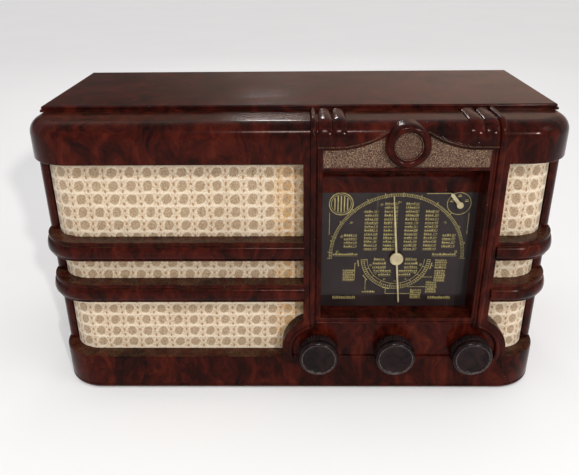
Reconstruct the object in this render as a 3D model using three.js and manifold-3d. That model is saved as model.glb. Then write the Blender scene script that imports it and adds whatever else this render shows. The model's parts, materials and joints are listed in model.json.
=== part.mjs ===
// Tabletop valve radio in a moulded Bakelite case, after French table sets of the 1930s.
// Units are millimetres, +Z is up and the front faces -Y. Inside this file X is measured from the middle
// of the case, Y backwards from the case's front plane and Z up from the case's underside. The exported
// group is moved so that its origin is the bottom centre of the whole radio.
import * as THREE from "three";
import { mergeVertices } from "three/addons/utils/BufferGeometryUtils.js";
import Module from "manifold-3d";

const wasm = await Module();
wasm.setup();

// ---------------------------------------------------------------- driving dimensions

const HALF_WIDTH = 247;
const DEPTH = 218;
const CORNER_R = 42;
const WALL = 4;
const SHELF_Z = 280; // flat shelf of the cornice, round the raised top
const SHOULDER_R = 12;
const TOP_Z = 284.5;
const TOP_HALF_WIDTH = 240;
const TOP_FRONT_Y = 50;
const FRONT_DEPTH = 16; // front plane to the grille cloth
const SIDE_DEPTH = 11; // side face to the grille cloth, and thickness of the side wall's front edge
const POST_R = 11; // rounding of that edge
const GAP = 0.3; // between pieces that touch
const FOOT_Z = 1.5; // feet below the case

const CORNICE_Z = 243;
const BASE_Z = 38.5;
const RIBS = [
  { low: 147.4, high: 166.9 },
  { low: 102.7, high: 121.8 },
];
const BEAD = 3; // how far the ribs' beads stand out of the front plane

const BAY_X = 96; // middle of the dial and of the knobs
const BAY_LEFT = 5;
const BAY_RIGHT = 186.5;
const REED_OFFSET = 82.2; // from BAY_X to each upright reed
const DIAL_HALF = 75.5;
const DIAL_LOW = 84.7;
const DIAL_HIGH = 237;
const DIAL_DEPTH = 23; // front plane to the glass
const COVE_HEIGHT = 29;

const HUB = { x: BAY_X, z: 140 };
const BAND_HUB = { x: 152, z: 196.6 };
const KNOB_Z = 47;
const KNOB_PITCH = 76;
const KNOB_X = [BAY_X - KNOB_PITCH, BAY_X, BAY_X + KNOB_PITCH];
const KNOB_R = 20;
const KNOB_FRONT = -17.4;
const KNOB_BACK = -1.2;
const KNOB_FLUTES = 36;
const SHOULDER_RING = 36.5; // window edge round each outer knob
const SHAFT_R = 3;
const RUNNING = 0.15; // radial clearance of a turning shaft in its faceted hole

const CHASSIS = { left: -28, right: 224, front: 44, back: 200, low: WALL + GAP, high: 74, sheet: 1.5 };
const SPEAKER = { x: -115, z: 140, hole: 74 };
const COVER_Y = 212;
const COVER_THICK = 3;

const ARC_STEPS = 4; // each arc of an outline is drawn with twice as many straight steps
const ROUND = 24; // sides of a round piece
const SMALL_ROUND = 12;

// ---------------------------------------------------------------- solids

// The closed solid of a three.js geometry, with its faces pointing out.
function solid(geometry) {
  const bare = geometry.index ? geometry.toNonIndexed() : geometry.clone();
  bare.deleteAttribute("normal");
  bare.deleteAttribute("uv");
  const merged = mergeVertices(bare, 1e-4);
  const corners = merged.index.array;
  const faces = [];
  for (let i = 0; i < corners.length; i += 3) {
    const [a, b, c] = corners.slice(i, i + 3);
    if (a !== b && b !== c && c !== a) faces.push(a, b, c);
  }
  const vertProperties = merged.attributes.position.array;
  const bodyOf = (triVerts) => new wasm.Manifold(new wasm.Mesh({ numProp: 3, vertProperties, triVerts }));
  const made = bodyOf(new Uint32Array(faces));
  return made.volume() > 0 ? made : bodyOf(new Uint32Array(faces.reverse()));
}

function geometryOf(body) {
  const { vertProperties, triVerts } = body.getMesh();
  const geometry = new THREE.BufferGeometry();
  geometry.setAttribute("position", new THREE.BufferAttribute(new Float32Array(vertProperties), 3));
  geometry.setIndex(new THREE.BufferAttribute(new Uint32Array(triVerts), 1));
  geometry.computeVertexNormals();
  return geometry;
}

const join = (first, ...others) => others.reduce((whole, other) => whole.add(other), first);
const cut = (first, ...others) => others.reduce((whole, other) => whole.subtract(other), first);

// An outline swept along an axis from one coordinate to another. The outline is drawn in XY for axis z,
// in XZ for axis y and in YZ for axis x. Its two rims can be rounded.
function prism(outline, axis, from, to, rim = 0, rimSteps = 3) {
  const geometry = new THREE.ExtrudeGeometry(outline, {
    depth: to - from - 2 * rim,
    bevelEnabled: rim > 0,
    bevelThickness: rim,
    bevelSize: rim,
    bevelOffset: -rim,
    bevelSegments: rimSteps,
    curveSegments: ARC_STEPS,
  });
  geometry.translate(0, 0, from + rim);
  if (axis === "x") {
    geometry.rotateX(Math.PI / 2);
    geometry.rotateZ(Math.PI / 2);
  }
  if (axis === "y") {
    geometry.translate(0, 0, -from - to);
    geometry.rotateX(Math.PI / 2);
  }
  return solid(geometry);
}

function box(x0, x1, y0, y1, z0, z1) {
  const geometry = new THREE.BoxGeometry(x1 - x0, y1 - y0, z1 - z0);
  geometry.translate((x0 + x1) / 2, (y0 + y1) / 2, (z0 + z1) / 2);
  return solid(geometry);
}

// A cylinder along Y at (x, z).
function rod(x, z, radius, y0, y1, sides = ROUND) {
  const geometry = new THREE.CylinderGeometry(radius, radius, y1 - y0, sides);
  geometry.translate(x, (y0 + y1) / 2, z);
  return solid(geometry);
}

// A cylinder along Z at (x, y).
function post(x, y, radius, z0, z1, sides = ROUND) {
  const geometry = new THREE.CylinderGeometry(radius, radius, z1 - z0, sides);
  geometry.rotateX(Math.PI / 2);
  geometry.translate(x, y, (z0 + z1) / 2);
  return solid(geometry);
}

// A turned piece from [radius, height] pairs: about a Y axis at (x, z), heights being Y.
function turnedY(profile, x, z, sides = ROUND) {
  const geometry = new THREE.LatheGeometry(
    profile.map(([r, h]) => new THREE.Vector2(r, h)),
    sides,
  );
  geometry.translate(x, 0, z);
  return solid(geometry);
}

// A turned piece standing on (x, y), heights being Z above the level given.
function turnedZ(profile, x, y, level, sides = ROUND) {
  const geometry = new THREE.LatheGeometry(
    profile.map(([r, h]) => new THREE.Vector2(r, h)),
    sides,
  );
  geometry.rotateX(Math.PI / 2);
  geometry.translate(x, y, level);
  return solid(geometry);
}

// ---------------------------------------------------------------- outlines

function polygon(points) {
  return new THREE.Shape(points.map(([a, b]) => new THREE.Vector2(a, b)));
}

const rectangle = (a0, a1, b0, b1) => polygon([[a0, b0], [a1, b0], [a1, b1], [a0, b1]]);

// The case seen from above: straight sides and rear, and a front with rounded corners.
function planOutline(halfWidth, frontY, cornerX, cornerY, rearY) {
  const outline = new THREE.Shape();
  const centreX = halfWidth - cornerX;
  const centreY = frontY + cornerY;
  const front = 1.5 * Math.PI;
  outline.moveTo(-halfWidth, rearY);
  outline.lineTo(-halfWidth, centreY);
  outline.absellipse(-centreX, centreY, cornerX, cornerY, Math.PI, front, false, 0);
  outline.absellipse(centreX, centreY, cornerX, cornerY, front, 2 * Math.PI, false, 0);
  outline.lineTo(halfWidth, rearY);
  return outline;
}

// A sheet bent round one front corner, seen from above: side is -1 for the left and 1 for the right.
function wrappedOutline(side, inner, outer, bayEdge, rearY) {
  const corner = HALF_WIDTH - CORNER_R;
  const outline = new THREE.Shape();
  const shallower = FRONT_DEPTH - SIDE_DEPTH;
  const flankX = (inset) => side * (HALF_WIDTH - inset + shallower);
  const arc = (inset, from, to, clockwise) => {
    const radius = CORNER_R - inset;
    outline.absellipse(side * corner, CORNER_R, radius + shallower, radius, from, to, clockwise, 0);
  };
  const front = 1.5 * Math.PI;
  const flank = side < 0 ? Math.PI : 2 * Math.PI;
  outline.moveTo(bayEdge, outer);
  arc(outer, front, flank, side < 0);
  outline.lineTo(flankX(outer), rearY);
  outline.lineTo(flankX(inner), rearY);
  arc(inner, flank, front, side > 0);
  outline.lineTo(bayEdge, inner);
  return outline;
}

// A window seen from above: all that lies in front of the side wall's rounded edge.
function windowOutline(side, bayEdge) {
  const postX = HALF_WIDTH - POST_R;
  const postY = CORNER_R + 3.6;
  const clear = 30;
  const outline = new THREE.Shape();
  outline.moveTo(bayEdge, -clear);
  outline.lineTo(side * (HALF_WIDTH + clear), -clear);
  outline.lineTo(side * (HALF_WIDTH + clear), postY);
  outline.lineTo(side * HALF_WIDTH, postY);
  if (side < 0) outline.absarc(-postX, postY, POST_R, Math.PI, 1.5 * Math.PI, false);
  else outline.absarc(postX, postY, POST_R, 0, -0.5 * Math.PI, true);
  outline.lineTo(bayEdge, postY - POST_R);
  return outline;
}

// A part of a flat ring, drawn about (x, z).
function ringPart(x, z, inner, outer, from, to) {
  const outline = new THREE.Shape();
  outline.absarc(x, z, outer, from, to, false);
  outline.absarc(x, z, inner, to, from, true);
  return outline;
}

// ---------------------------------------------------------------- case

function caseBody() {
  const behind = 30;
  const tall = prism(
    planOutline(HALF_WIDTH, 0, CORNER_R, CORNER_R, DEPTH + behind), "z", -behind, SHELF_Z, SHOULDER_R, 4,
  );
  const keep = box(-HALF_WIDTH - 1, HALF_WIDTH + 1, -1, DEPTH, 0, SHELF_Z + 1);
  const topOutline = rectangle(-TOP_HALF_WIDTH, TOP_HALF_WIDTH, TOP_FRONT_Y, DEPTH);
  const top = prism(topOutline, "z", SHELF_Z - 6, TOP_Z, 1.2, 2);
  return join(tall.intersect(keep), top);
}

// Rounded beads along the two ribs, on the grille sides only.
function ribBeads() {
  const outline = planOutline(HALF_WIDTH, -BEAD, CORNER_R, CORNER_R + BEAD, DEPTH - 20);
  const bay = (rib) => box(BAY_LEFT, BAY_RIGHT, -BEAD - 1, DEPTH, rib.low, rib.high);
  const set = 2.5;
  return RIBS.map((rib) => cut(prism(outline, "z", rib.low + set, rib.high - set, 5), bay(rib)));
}

// One upright reed: it runs over the shoulder and down the face, and stands out by BEAD.
function reed(x) {
  const outer = SHOULDER_R + BEAD;
  const outline = new THREE.Shape();
  outline.moveTo(TOP_FRONT_Y + 2, SHELF_Z + BEAD);
  outline.absarc(SHOULDER_R, SHELF_Z - SHOULDER_R, outer, 0.5 * Math.PI, Math.PI, false);
  outline.lineTo(-BEAD, KNOB_Z + 26);
  outline.lineTo(WALL, KNOB_Z + 26);
  outline.lineTo(WALL, SHELF_Z - SHOULDER_R);
  outline.lineTo(SHOULDER_R, SHELF_Z - WALL);
  outline.lineTo(TOP_FRONT_Y + 2, SHELF_Z - WALL);
  return prism(outline, "x", x - BEAD, x + BEAD, 2, 2);
}

// The moulding that carries each reed on round its outer knob, down to the base.
function knobArc(side) {
  const up = 0.5 * Math.PI - side * 0.2;
  const down = side < 0 ? 1.12 * Math.PI : -0.12 * Math.PI;
  const x = BAY_X + side * KNOB_PITCH;
  const outline = ringPart(x, KNOB_Z, 26, 30.5, Math.min(up, down), Math.max(up, down));
  return prism(outline, "y", -2, WALL, 1.2, 2);
}

// The raised line over the dial: level beside the reeds, and rising to the medallion.
function archLine(side) {
  const line = 1.2;
  const at = (offset, z) => [BAY_X + side * offset, z];
  const outline = new THREE.Shape();
  outline.moveTo(...at(REED_OFFSET, 259 + line));
  outline.quadraticCurveTo(...at(48, 258.5 + line), ...at(16, 271 + line));
  outline.lineTo(...at(16, 271 - line));
  outline.quadraticCurveTo(...at(48, 258.5 - line), ...at(REED_OFFSET, 259 - line));
  return prism(outline, "y", -1.8, WALL, 0.8, 2);
}

// The blanked ring over the dial.
function medallion() {
  const profile = [
    [0, -2], [10.8, -2], [11.6, -5.5], [14, -8], [16.5, -8], [19, -5.5], [20, -1],
    [20, SHOULDER_R], [0, SHOULDER_R],
  ];
  return turnedY(profile, BAY_X, 261);
}

// The tunnel from the front plane to the glass, with a cove along its top.
function dialTunnel() {
  const coveLow = DIAL_HIGH - COVE_HEIGHT;
  const past = 10;
  const outline = new THREE.Shape();
  outline.moveTo(-past, DIAL_LOW);
  outline.lineTo(DIAL_DEPTH + past, DIAL_LOW);
  outline.lineTo(DIAL_DEPTH + past, coveLow);
  outline.absellipse(0, coveLow, DIAL_DEPTH, COVE_HEIGHT, 0, 0.5 * Math.PI, false, 0);
  outline.lineTo(-past, DIAL_HIGH);
  return prism(outline, "x", BAY_X - DIAL_HALF, BAY_X + DIAL_HALF);
}

// Everything hollow behind the front wall, open at the rear.
function caseHollow() {
  const past = DEPTH + 10;
  const inner = HALF_WIDTH - WALL;
  const front = planOutline(
    HALF_WIDTH - SIDE_DEPTH, FRONT_DEPTH, CORNER_R - SIDE_DEPTH, CORNER_R - FRONT_DEPTH, past,
  );
  const thin = CORNER_R - WALL;
  const bayBack = FRONT_DEPTH + 1;
  const knobBack = WALL + 2;
  const knobRing = SHOULDER_RING - WALL;
  const thinOutline = planOutline(inner, WALL, thin, thin, past);
  return join(
    prism(front, "z", WALL, SHELF_Z - 6),
    box(-inner, inner, 66, past, WALL, SHELF_Z - 6),
    prism(thinOutline, "z", CORNICE_Z + WALL, SHELF_Z - SHOULDER_R),
    prism(thinOutline, "z", WALL, BASE_Z - WALL),
    box(KNOB_X[0], KNOB_X[2], knobBack, bayBack, WALL, DIAL_LOW - 10),
    rod(KNOB_X[0], KNOB_Z, knobRing, knobBack, bayBack),
    rod(KNOB_X[2], KNOB_Z, knobRing, knobBack, bayBack),
  );
}

function windows() {
  const heights = [
    [RIBS[0].high, CORNICE_Z],
    [RIBS[1].high, RIBS[0].low],
    [BASE_Z, RIBS[1].low],
  ];
  const sides = [
    { side: -1, edge: BAY_LEFT, knob: KNOB_X[0] },
    { side: 1, edge: BAY_RIGHT, knob: KNOB_X[2] },
  ];
  return sides.flatMap(({ side, edge, knob }) =>
    heights.map(([low, high]) =>
      cut(prism(windowOutline(side, edge), "z", low, high), rod(knob, KNOB_Z, SHOULDER_RING, -40, 80, 32)),
    ),
  );
}

// The shallow panel round the knobs, with round ends inside the two mouldings.
function knobPanel() {
  const low = 39.5;
  const high = 79;
  const sunk = 2;
  const round = KNOB_X.filter((x) => x !== BAY_X).map((x) => rod(x, KNOB_Z, 25.5, -20, sunk));
  const band = box(0, BAY_X * 2, -30, sunk, low, high);
  return join(box(KNOB_X[0], KNOB_X[2], -20, sunk, low, high), ...round).intersect(band);
}

// Corner blocks that the rear cover is screwed and hooked to.
function coverBlocks() {
  const inner = HALF_WIDTH - WALL - 14;
  const top = SHELF_Z - 6;
  return [-1, 1].flatMap((side) =>
    [[WALL - 1, 18], [top - 14, top + 1]].map(([low, high]) => {
      const [a, b] = [side * inner, side * (HALF_WIDTH - WALL + 1)].sort((p, q) => p - q);
      return box(a, b, COVER_Y - 16, COVER_Y - GAP, low, high);
    }),
  );
}

const FEET = [
  ["foot_front_left", -195, 40],
  ["foot_front_right", 195, 40],
  ["foot_rear_left", -215, 190],
  ["foot_rear_right", 215, 190],
];
const FOOT_R = 9;
const POCKET = 1;
const SIDE_SCREW = { y: 56, z: 212, shank: 2, head: 4.5, proud: 2.2 };
const COVER_SCREW_Z = SHELF_Z - 13;
const COVER_SCREW_X = HALF_WIDTH - WALL - 7;

function rodX(z, y, radius, x0, x1, sides) {
  const geometry = new THREE.CylinderGeometry(radius, radius, x1 - x0, sides);
  geometry.rotateZ(Math.PI / 2);
  geometry.translate((x0 + x1) / 2, y, z);
  return solid(geometry);
}

function cabinet() {
  const shell = cut(
    join(caseBody(), ...ribBeads(), reed(BAY_X - REED_OFFSET), reed(BAY_X + REED_OFFSET), medallion(),
      knobArc(-1), knobArc(1), archLine(-1), archLine(1)),
    caseHollow(),
    ...windows(),
  );
  const sleeve = box(BAY_X - DIAL_HALF - 6, BAY_X + DIAL_HALF + 6, 1, DIAL_DEPTH, DIAL_LOW - 6, CORNICE_Z);
  const shaftHoles = KNOB_X.map((x) => rod(x, KNOB_Z, 4.5, -5, 30, SMALL_ROUND));
  const footPockets = FEET.map(([, x, y]) => post(x, y, FOOT_R + GAP, -1, POCKET, SMALL_ROUND));
  const past = HALF_WIDTH + 5;
  const sideHole = rodX(SIDE_SCREW.z, SIDE_SCREW.y, SIDE_SCREW.shank + GAP, -past, past, 8);
  const coverHoles = [-1, 1].map((side) =>
    rod(side * COVER_SCREW_X, COVER_SCREW_Z, 2, COVER_Y - 11, COVER_Y, 8));
  return cut(join(shell, sleeve, ...coverBlocks()), dialTunnel(), knobPanel(), ...shaftHoles, ...footPockets,
    sideHole, ...coverHoles);
}

function sideScrew(side) {
  const face = HALF_WIDTH + GAP;
  const { y, z, head, shank, proud } = SIDE_SCREW;
  const along = (radius, a, b, sides) =>
    rodX(z, y, radius, Math.min(side * a, side * b), Math.max(side * a, side * b), sides);
  return join(
    along(head, face, face + proud - 1, SMALL_ROUND),
    along(3, face, face + proud, SMALL_ROUND),
    along(shank, HALF_WIDTH - 10, face + 0.5, 8),
  );
}

// ---------------------------------------------------------------- grilles and loudspeaker

const GRILLE = { low: BASE_Z - 6, high: CORNICE_Z + 6, rear: 58 };
const CLOTH_THICK = 1;
const BAFFLE_THICK = 5;
const SLEEVE_CLEAR = DIAL_HALF + 6.5;
const BAY_EDGE = { [-1]: BAY_X - SLEEVE_CLEAR, [1]: BAY_X + SLEEVE_CLEAR };

function grilleCloth(side) {
  const face = FRONT_DEPTH + GAP;
  const outline = wrappedOutline(side, face + CLOTH_THICK, face, BAY_EDGE[side], GRILLE.rear);
  return prism(outline, "z", GRILLE.low, GRILLE.high);
}

function baffleBoard(side) {
  const face = FRONT_DEPTH + CLOTH_THICK + 2 * GAP;
  const outline = wrappedOutline(side, face + BAFFLE_THICK, face, BAY_EDGE[side], GRILLE.rear);
  const board = prism(outline, "z", GRILLE.low, GRILLE.high);
  if (side < 0) return cut(board, rod(SPEAKER.x, SPEAKER.z, SPEAKER.hole, 10, 40, 40));
  const slot = (low, high) => box(190, 226, 10, 30, low, high);
  return cut(board, slot(RIBS[0].high + 8, CORNICE_Z - 8), slot(BASE_Z + 8, RIBS[1].low - 8));
}

const BASKET_Y = FRONT_DEPTH + CLOTH_THICK + BAFFLE_THICK + 3 * GAP;
const MAGNET_Y = BASKET_Y + 51.4;

function speakerBasket() {
  const y = BASKET_Y;
  const shell = turnedY(
    [
      [73, y], [84, y], [84, y + 1.8], [79, y + 1.8], [44, y + 51], [17, y + 51], [17, y + 49.4],
      [42.8, y + 49.4], [76.5, y + 1.8], [73, y + 1.8], [73, y],
    ],
    SPEAKER.x, SPEAKER.z,
  );
  const openings = [0, 1, 2, 3].map((k) => {
    const slot = new THREE.BoxGeometry(26, 30, 40);
    slot.translate(61, 0, 0);
    slot.rotateY((k + 0.5) * 0.5 * Math.PI);
    slot.translate(SPEAKER.x, y + 26, SPEAKER.z);
    return solid(slot);
  });
  return cut(shell, ...openings);
}

// Paper cone, its rim and its voice-coil tube in one piece.
function speakerCone() {
  const y = BASKET_Y;
  return turnedY(
    [
      [0, y + 36], [8, y + 37], [14.5, y + 40], [61, y + 2.2], [71.5, y + 2.2], [71.5, y + 3.2],
      [61.5, y + 3.2],
      [14.2, y + 42.5], [14.2, y + 64], [13, y + 64], [13, y + 41.5], [8, y + 38.2], [0, y + 37.2],
    ],
    SPEAKER.x, SPEAKER.z,
  );
}

function speakerMagnet() {
  const y = MAGNET_Y;
  return turnedY(
    [
      [0, y - 4], [11.5, y - 4], [11.5, y + 28], [15.7, y + 28], [15.7, y], [34, y], [34, y + 36],
      [32, y + 38], [0, y + 38],
    ],
    SPEAKER.x, SPEAKER.z,
  );
}

// ---------------------------------------------------------------- dial and pointers

const POINTER_Y = 18.8;
const GLASS_Y = DIAL_DEPTH + GAP;
const GLASS_THICK = 3;
const GLASS = { left: BAY_X - 79, right: BAY_X + 79, low: 81, high: 213 };
const BRACKET_Y = GLASS_Y + GLASS_THICK + GAP;
const BRACKET_SHEET = 1.5;
const POINTER_REST = THREE.MathUtils.degToRad(5.4);
const BAND_REST = THREE.MathUtils.degToRad(38);

function dialGlass() {
  return cut(
    box(GLASS.left, GLASS.right, GLASS_Y, GLASS_Y + GLASS_THICK, GLASS.low, GLASS.high),
    rod(HUB.x, HUB.z, SHAFT_R, 10, 40, SMALL_ROUND),
    rod(BAND_HUB.x, BAND_HUB.z, SHAFT_R, 10, 40, SMALL_ROUND),
  );
}

function dialBracket() {
  const back = BRACKET_Y + BRACKET_SHEET;
  const legLow = 50;
  const leg = (x) =>
    join(
      box(x - 7, x + 7, BRACKET_Y, back, legLow, GLASS.low + 5),
      box(x - 7, x + 7, BRACKET_Y, CHASSIS.front - GAP, legLow, legLow + BRACKET_SHEET),
    );
  return cut(
    join(box(GLASS.left, GLASS.right, BRACKET_Y, back, GLASS.low - 1, GLASS.high), leg(43), leg(125)),
    box(GLASS.left + 14, BAY_X - 14, 10, 40, GLASS.low + 12, GLASS.high - 12),
    box(BAY_X + 14, BAND_HUB.x - 12, 10, 40, GLASS.low + 12, GLASS.high - 12),
    rod(HUB.x, HUB.z, 6, 10, 40, SMALL_ROUND),
    rod(BAND_HUB.x, BAND_HUB.z, 4, 10, 40, SMALL_ROUND),
  );
}

// A small bulb with its metal cap, held behind the bracket.
function dialLamp(x) {
  const level = 168;
  const profile = [[0, 0], [5, 0], [5, 12], [5.8, 16], [5.8, 20], [3.5, 25], [0, 26.5]];
  return turnedZ(profile, x, 37, level, SMALL_ROUND);
}

// A flat tapered hand about a hub, leaning left by an angle.
function hand(hub, reach, tail, half, disc, lean) {
  const outline = polygon([[half, -tail], [half, reach - 2], [0, reach], [-half, reach - 2], [-half, -tail]]);
  const flat = prism(outline, "y", POINTER_Y, POINTER_Y + 1.2);
  const round = rod(0, 0, disc, POINTER_Y - 0.6, POINTER_Y + 1.5, SMALL_ROUND);
  const turned = join(flat, round).rotate([0, THREE.MathUtils.radToDeg(-lean), 0]);
  return turned.translate([hub.x, 0, hub.z]);
}

const dialPointer = () => hand(HUB, 64, 48, 1.3, 7, POINTER_REST);
const bandPointer = () => hand(BAND_HUB, 15, 2, 1.7, 3.2, BAND_REST);

// ---------------------------------------------------------------- tuning drive

const DRUM_Y = 37;
const BAND_CORD_Y = 31;
const CORD_R = 0.5;
const DRUM_R = 35;
const PULLEY_R = 7;

// Grooved wheel about an axle; the groove's floor is at radius and its middle at height y.
function grooved(radius, bore, y, hubLength) {
  const rim = radius + 1.5;
  const half = 2.2;
  const floor = 0.6;
  return [
    [bore, y - hubLength], [bore + 4, y - hubLength], [bore + 4, y - half], [rim, y - half],
    [radius, y - floor], [radius, y + floor], [rim, y + half], [bore, y + half], [bore, y - hubLength],
  ];
}

const pointerShaft = () =>
  turnedY(
    [[0, POINTER_Y + 1.8], [2.2, POINTER_Y + 1.8], [2.2, 30], [SHAFT_R, 30.5], [SHAFT_R, 113], [0, 113]],
    HUB.x, HUB.z,
  );

const cordDrum = () => turnedY(grooved(DRUM_R, SHAFT_R + GAP, DRUM_Y, 3.4), HUB.x, HUB.z);

// An open belt's route about two wheels in the plane y, starting and ending at the top of the first wheel.
function beltRoute(first, firstR, second, secondR, y, opening) {
  const dx = second.x - first.x;
  const dz = second.z - first.z;
  const towards = Math.atan2(dz, dx);
  const lean = Math.acos((firstR - secondR) / Math.hypot(dx, dz));
  const route = [];
  const wind = (centre, radius, from, to, steps) => {
    for (let i = 0; i <= steps; i += 1) {
      const angle = from + ((to - from) * i) / steps;
      const x = centre.x + radius * Math.cos(angle);
      route.push(new THREE.Vector3(x, y, centre.z + radius * Math.sin(angle)));
    }
  };
  wind(first, firstR, towards - Math.PI + opening, towards - lean, 16);
  wind(second, secondR, towards - lean, towards + lean, 8);
  wind(first, firstR, towards + lean, towards + Math.PI - opening, 16);
  return route;
}

// A curve that is sampled at its own points, which lie close where the cord bends.
class Route extends THREE.CatmullRomCurve3 {
  getUtoTmapping(share) {
    return share;
  }
}

function cord(route, radius) {
  const section = new THREE.Shape();
  section.absarc(0, 0, radius, 0, 2 * Math.PI, false);
  return solid(new THREE.ExtrudeGeometry(section, {
    steps: route.length - 1,
    extrudePath: new Route(route, false, "centripetal"),
    curveSegments: 3,
    bevelEnabled: false,
  }));
}

const SPINDLE = { x: BAY_X, z: KNOB_Z };
const BAND_SPINDLE = { x: KNOB_X[2], z: KNOB_Z };

const driveCord = () => cord(beltRoute(HUB, DRUM_R + 0.9, SPINDLE, SHAFT_R + 1.1, DRUM_Y, 0.09), CORD_R);
const bandCord = () =>
  cord(beltRoute(BAND_HUB, PULLEY_R + 1, BAND_SPINDLE, PULLEY_R + 1, BAND_CORD_Y, 0.35), CORD_R);

const PLATES = { first: 54, pitch: 8, thick: 1.5, count: 6, radius: 30 };
const CAPACITOR = { front: 47, back: 110, half: 40, sheet: 2 };

// Half-round plates on the pointer's shaft.
function capacitorRotor() {
  const sleeve = cut(
    rod(HUB.x, HUB.z, 6, CAPACITOR.front + 4, CAPACITOR.back - 4, SMALL_ROUND),
    rod(HUB.x, HUB.z, SHAFT_R + GAP, 40, 120, SMALL_ROUND),
  );
  const half = ringPart(HUB.x, HUB.z, 5, PLATES.radius, 0.1, Math.PI - 0.1);
  const plates = Array.from({ length: PLATES.count }, (_, i) => {
    const y = PLATES.first + i * PLATES.pitch;
    return prism(half, "y", y, y + PLATES.thick);
  });
  return join(sleeve, ...plates);
}

// Fixed plates between the moving ones, on three bars outside their path.
function capacitorStator() {
  const half = ringPart(HUB.x, HUB.z, 9, PLATES.radius + 7, Math.PI + 0.1, 2 * Math.PI - 0.1);
  const plates = Array.from({ length: PLATES.count - 1 }, (_, i) => {
    const y = PLATES.first + (i + 0.5) * PLATES.pitch;
    return prism(half, "y", y, y + PLATES.thick);
  });
  const bars = [1.15, 1.5, 1.85].map((turn) => {
    const angle = turn * Math.PI;
    const reach = PLATES.radius + 4;
    const inner = CAPACITOR.front + CAPACITOR.sheet + GAP;
    return rod(HUB.x + reach * Math.cos(angle), HUB.z + reach * Math.sin(angle), 2, inner,
      CAPACITOR.back - CAPACITOR.sheet - GAP, 8);
  });
  return join(bars[0], ...plates, bars[1], bars[2]);
}

function capacitorFrame() {
  const { front, back, half, sheet } = CAPACITOR;
  const low = CHASSIS.high + GAP;
  const high = HUB.z + PLATES.radius + 8;
  const plate = (y) => box(HUB.x - half, HUB.x + half, y, y + sheet, low, high);
  return cut(
    join(
      plate(front),
      plate(back - sheet),
      box(HUB.x - half, HUB.x + half, front, back, low, low + sheet),
      box(HUB.x - half, HUB.x - half + 8, front, back, high - sheet, high),
      box(HUB.x + half - 8, HUB.x + half, front, back, high - sheet, high),
    ),
    rod(HUB.x, HUB.z, SHAFT_R + RUNNING, 40, 120),
  );
}

// ---------------------------------------------------------------- knobs and controls

const SHAFT_FRONT = -8.7;
const SHAFT_BACK = 55;

function knob(x) {
  const star = new THREE.Shape();
  for (let i = 0; i < 2 * KNOB_FLUTES; i += 1) {
    const angle = (i * Math.PI) / KNOB_FLUTES;
    const radius = i % 2 ? KNOB_R - 1.1 : KNOB_R;
    const draw = i ? "lineTo" : "moveTo";
    star[draw](radius * Math.cos(angle), radius * Math.sin(angle));
  }
  const skirtFront = -7.5;
  const face = turnedY(
    [
      [0, skirtFront + 4], [18.4, skirtFront + 4], [18.4, skirtFront - 0.5], [19.8, skirtFront - 2],
      [19.8, KNOB_FRONT + 4], [18.8, KNOB_FRONT + 1.2], [16.6, KNOB_FRONT], [15.4, KNOB_FRONT + 0.6],
      [14, KNOB_FRONT + 2], [0, KNOB_FRONT + 2.6],
    ],
    0, 0,
  );
  const bore = rod(0, 0, SHAFT_R + GAP, SHAFT_FRONT - GAP, KNOB_BACK + 1, SMALL_ROUND);
  const whole = cut(join(prism(star, "y", skirtFront, KNOB_BACK), face), bore);
  return whole.translate([x, 0, KNOB_Z]);
}

const controlShaft = (x) => rod(x, KNOB_Z, SHAFT_R, SHAFT_FRONT, SHAFT_BACK);

function bandShaft() {
  const wheel = turnedY(grooved(PULLEY_R, 2, BAND_CORD_Y, 2.6), BAND_SPINDLE.x, BAND_SPINDLE.z, SMALL_ROUND);
  return join(controlShaft(BAND_SPINDLE.x), wheel);
}

function bandPointerShaft() {
  const stem = rod(BAND_HUB.x, BAND_HUB.z, 2.2, POINTER_Y + 1.8, BAND_CORD_Y + 4, SMALL_ROUND);
  return join(stem, turnedY(grooved(PULLEY_R, 1.5, BAND_CORD_Y, 2.6), BAND_HUB.x, BAND_HUB.z, SMALL_ROUND));
}

// A bush through the chassis front, with a body of a given outline behind it.
function control(x, body) {
  const bush = rod(x, KNOB_Z, 5, CHASSIS.front - 4, CHASSIS.front + CHASSIS.sheet + 4, SMALL_ROUND);
  const nut = rod(x, KNOB_Z, 7.5, CHASSIS.front - 3, CHASSIS.front - GAP, 6);
  return cut(join(bush, nut, body), rod(x, KNOB_Z, SHAFT_R + RUNNING, 0, SHAFT_BACK + 2));
}

const BEHIND_FRONT = CHASSIS.front + CHASSIS.sheet + GAP;

function volumeControl() {
  const x = KNOB_X[0];
  return control(x, join(
    rod(x, KNOB_Z, 12.5, BEHIND_FRONT, BEHIND_FRONT + 12),
    rod(x, KNOB_Z, 11, BEHIND_FRONT + 11, BEHIND_FRONT + 22, SMALL_ROUND),
    box(x - 8, x + 8, BEHIND_FRONT + 2, BEHIND_FRONT + 4, KNOB_Z - 18, KNOB_Z),
  ));
}

const tuningBush = () =>
  control(KNOB_X[1], rod(KNOB_X[1], KNOB_Z, 7, BEHIND_FRONT, BEHIND_FRONT + 6, SMALL_ROUND));

function bandSwitch() {
  const x = KNOB_X[2];
  const wafer = (y) => rod(x, KNOB_Z, 19, y, y + 1.6, SMALL_ROUND);
  return control(x, join(
    rod(x, KNOB_Z, 10, BEHIND_FRONT, BEHIND_FRONT + 42, SMALL_ROUND),
    wafer(BEHIND_FRONT + 4), wafer(BEHIND_FRONT + 22), wafer(BEHIND_FRONT + 40),
  ));
}

// ---------------------------------------------------------------- chassis and what stands on it

const TRANSFORMER = { x: 189, y: 162 };
const VALVES = [
  ["valve_1", 28, 84, 17],
  ["valve_2", 163, 84, 17],
  ["valve_3", -4, 160, 17],
  ["valve_4", 44, 160, 20],
  ["valve_5", 134, 160, 20],
];
const REAR_FITTINGS = { terminals: 30, selector: 118, gland: 205, z: 36 };

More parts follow.
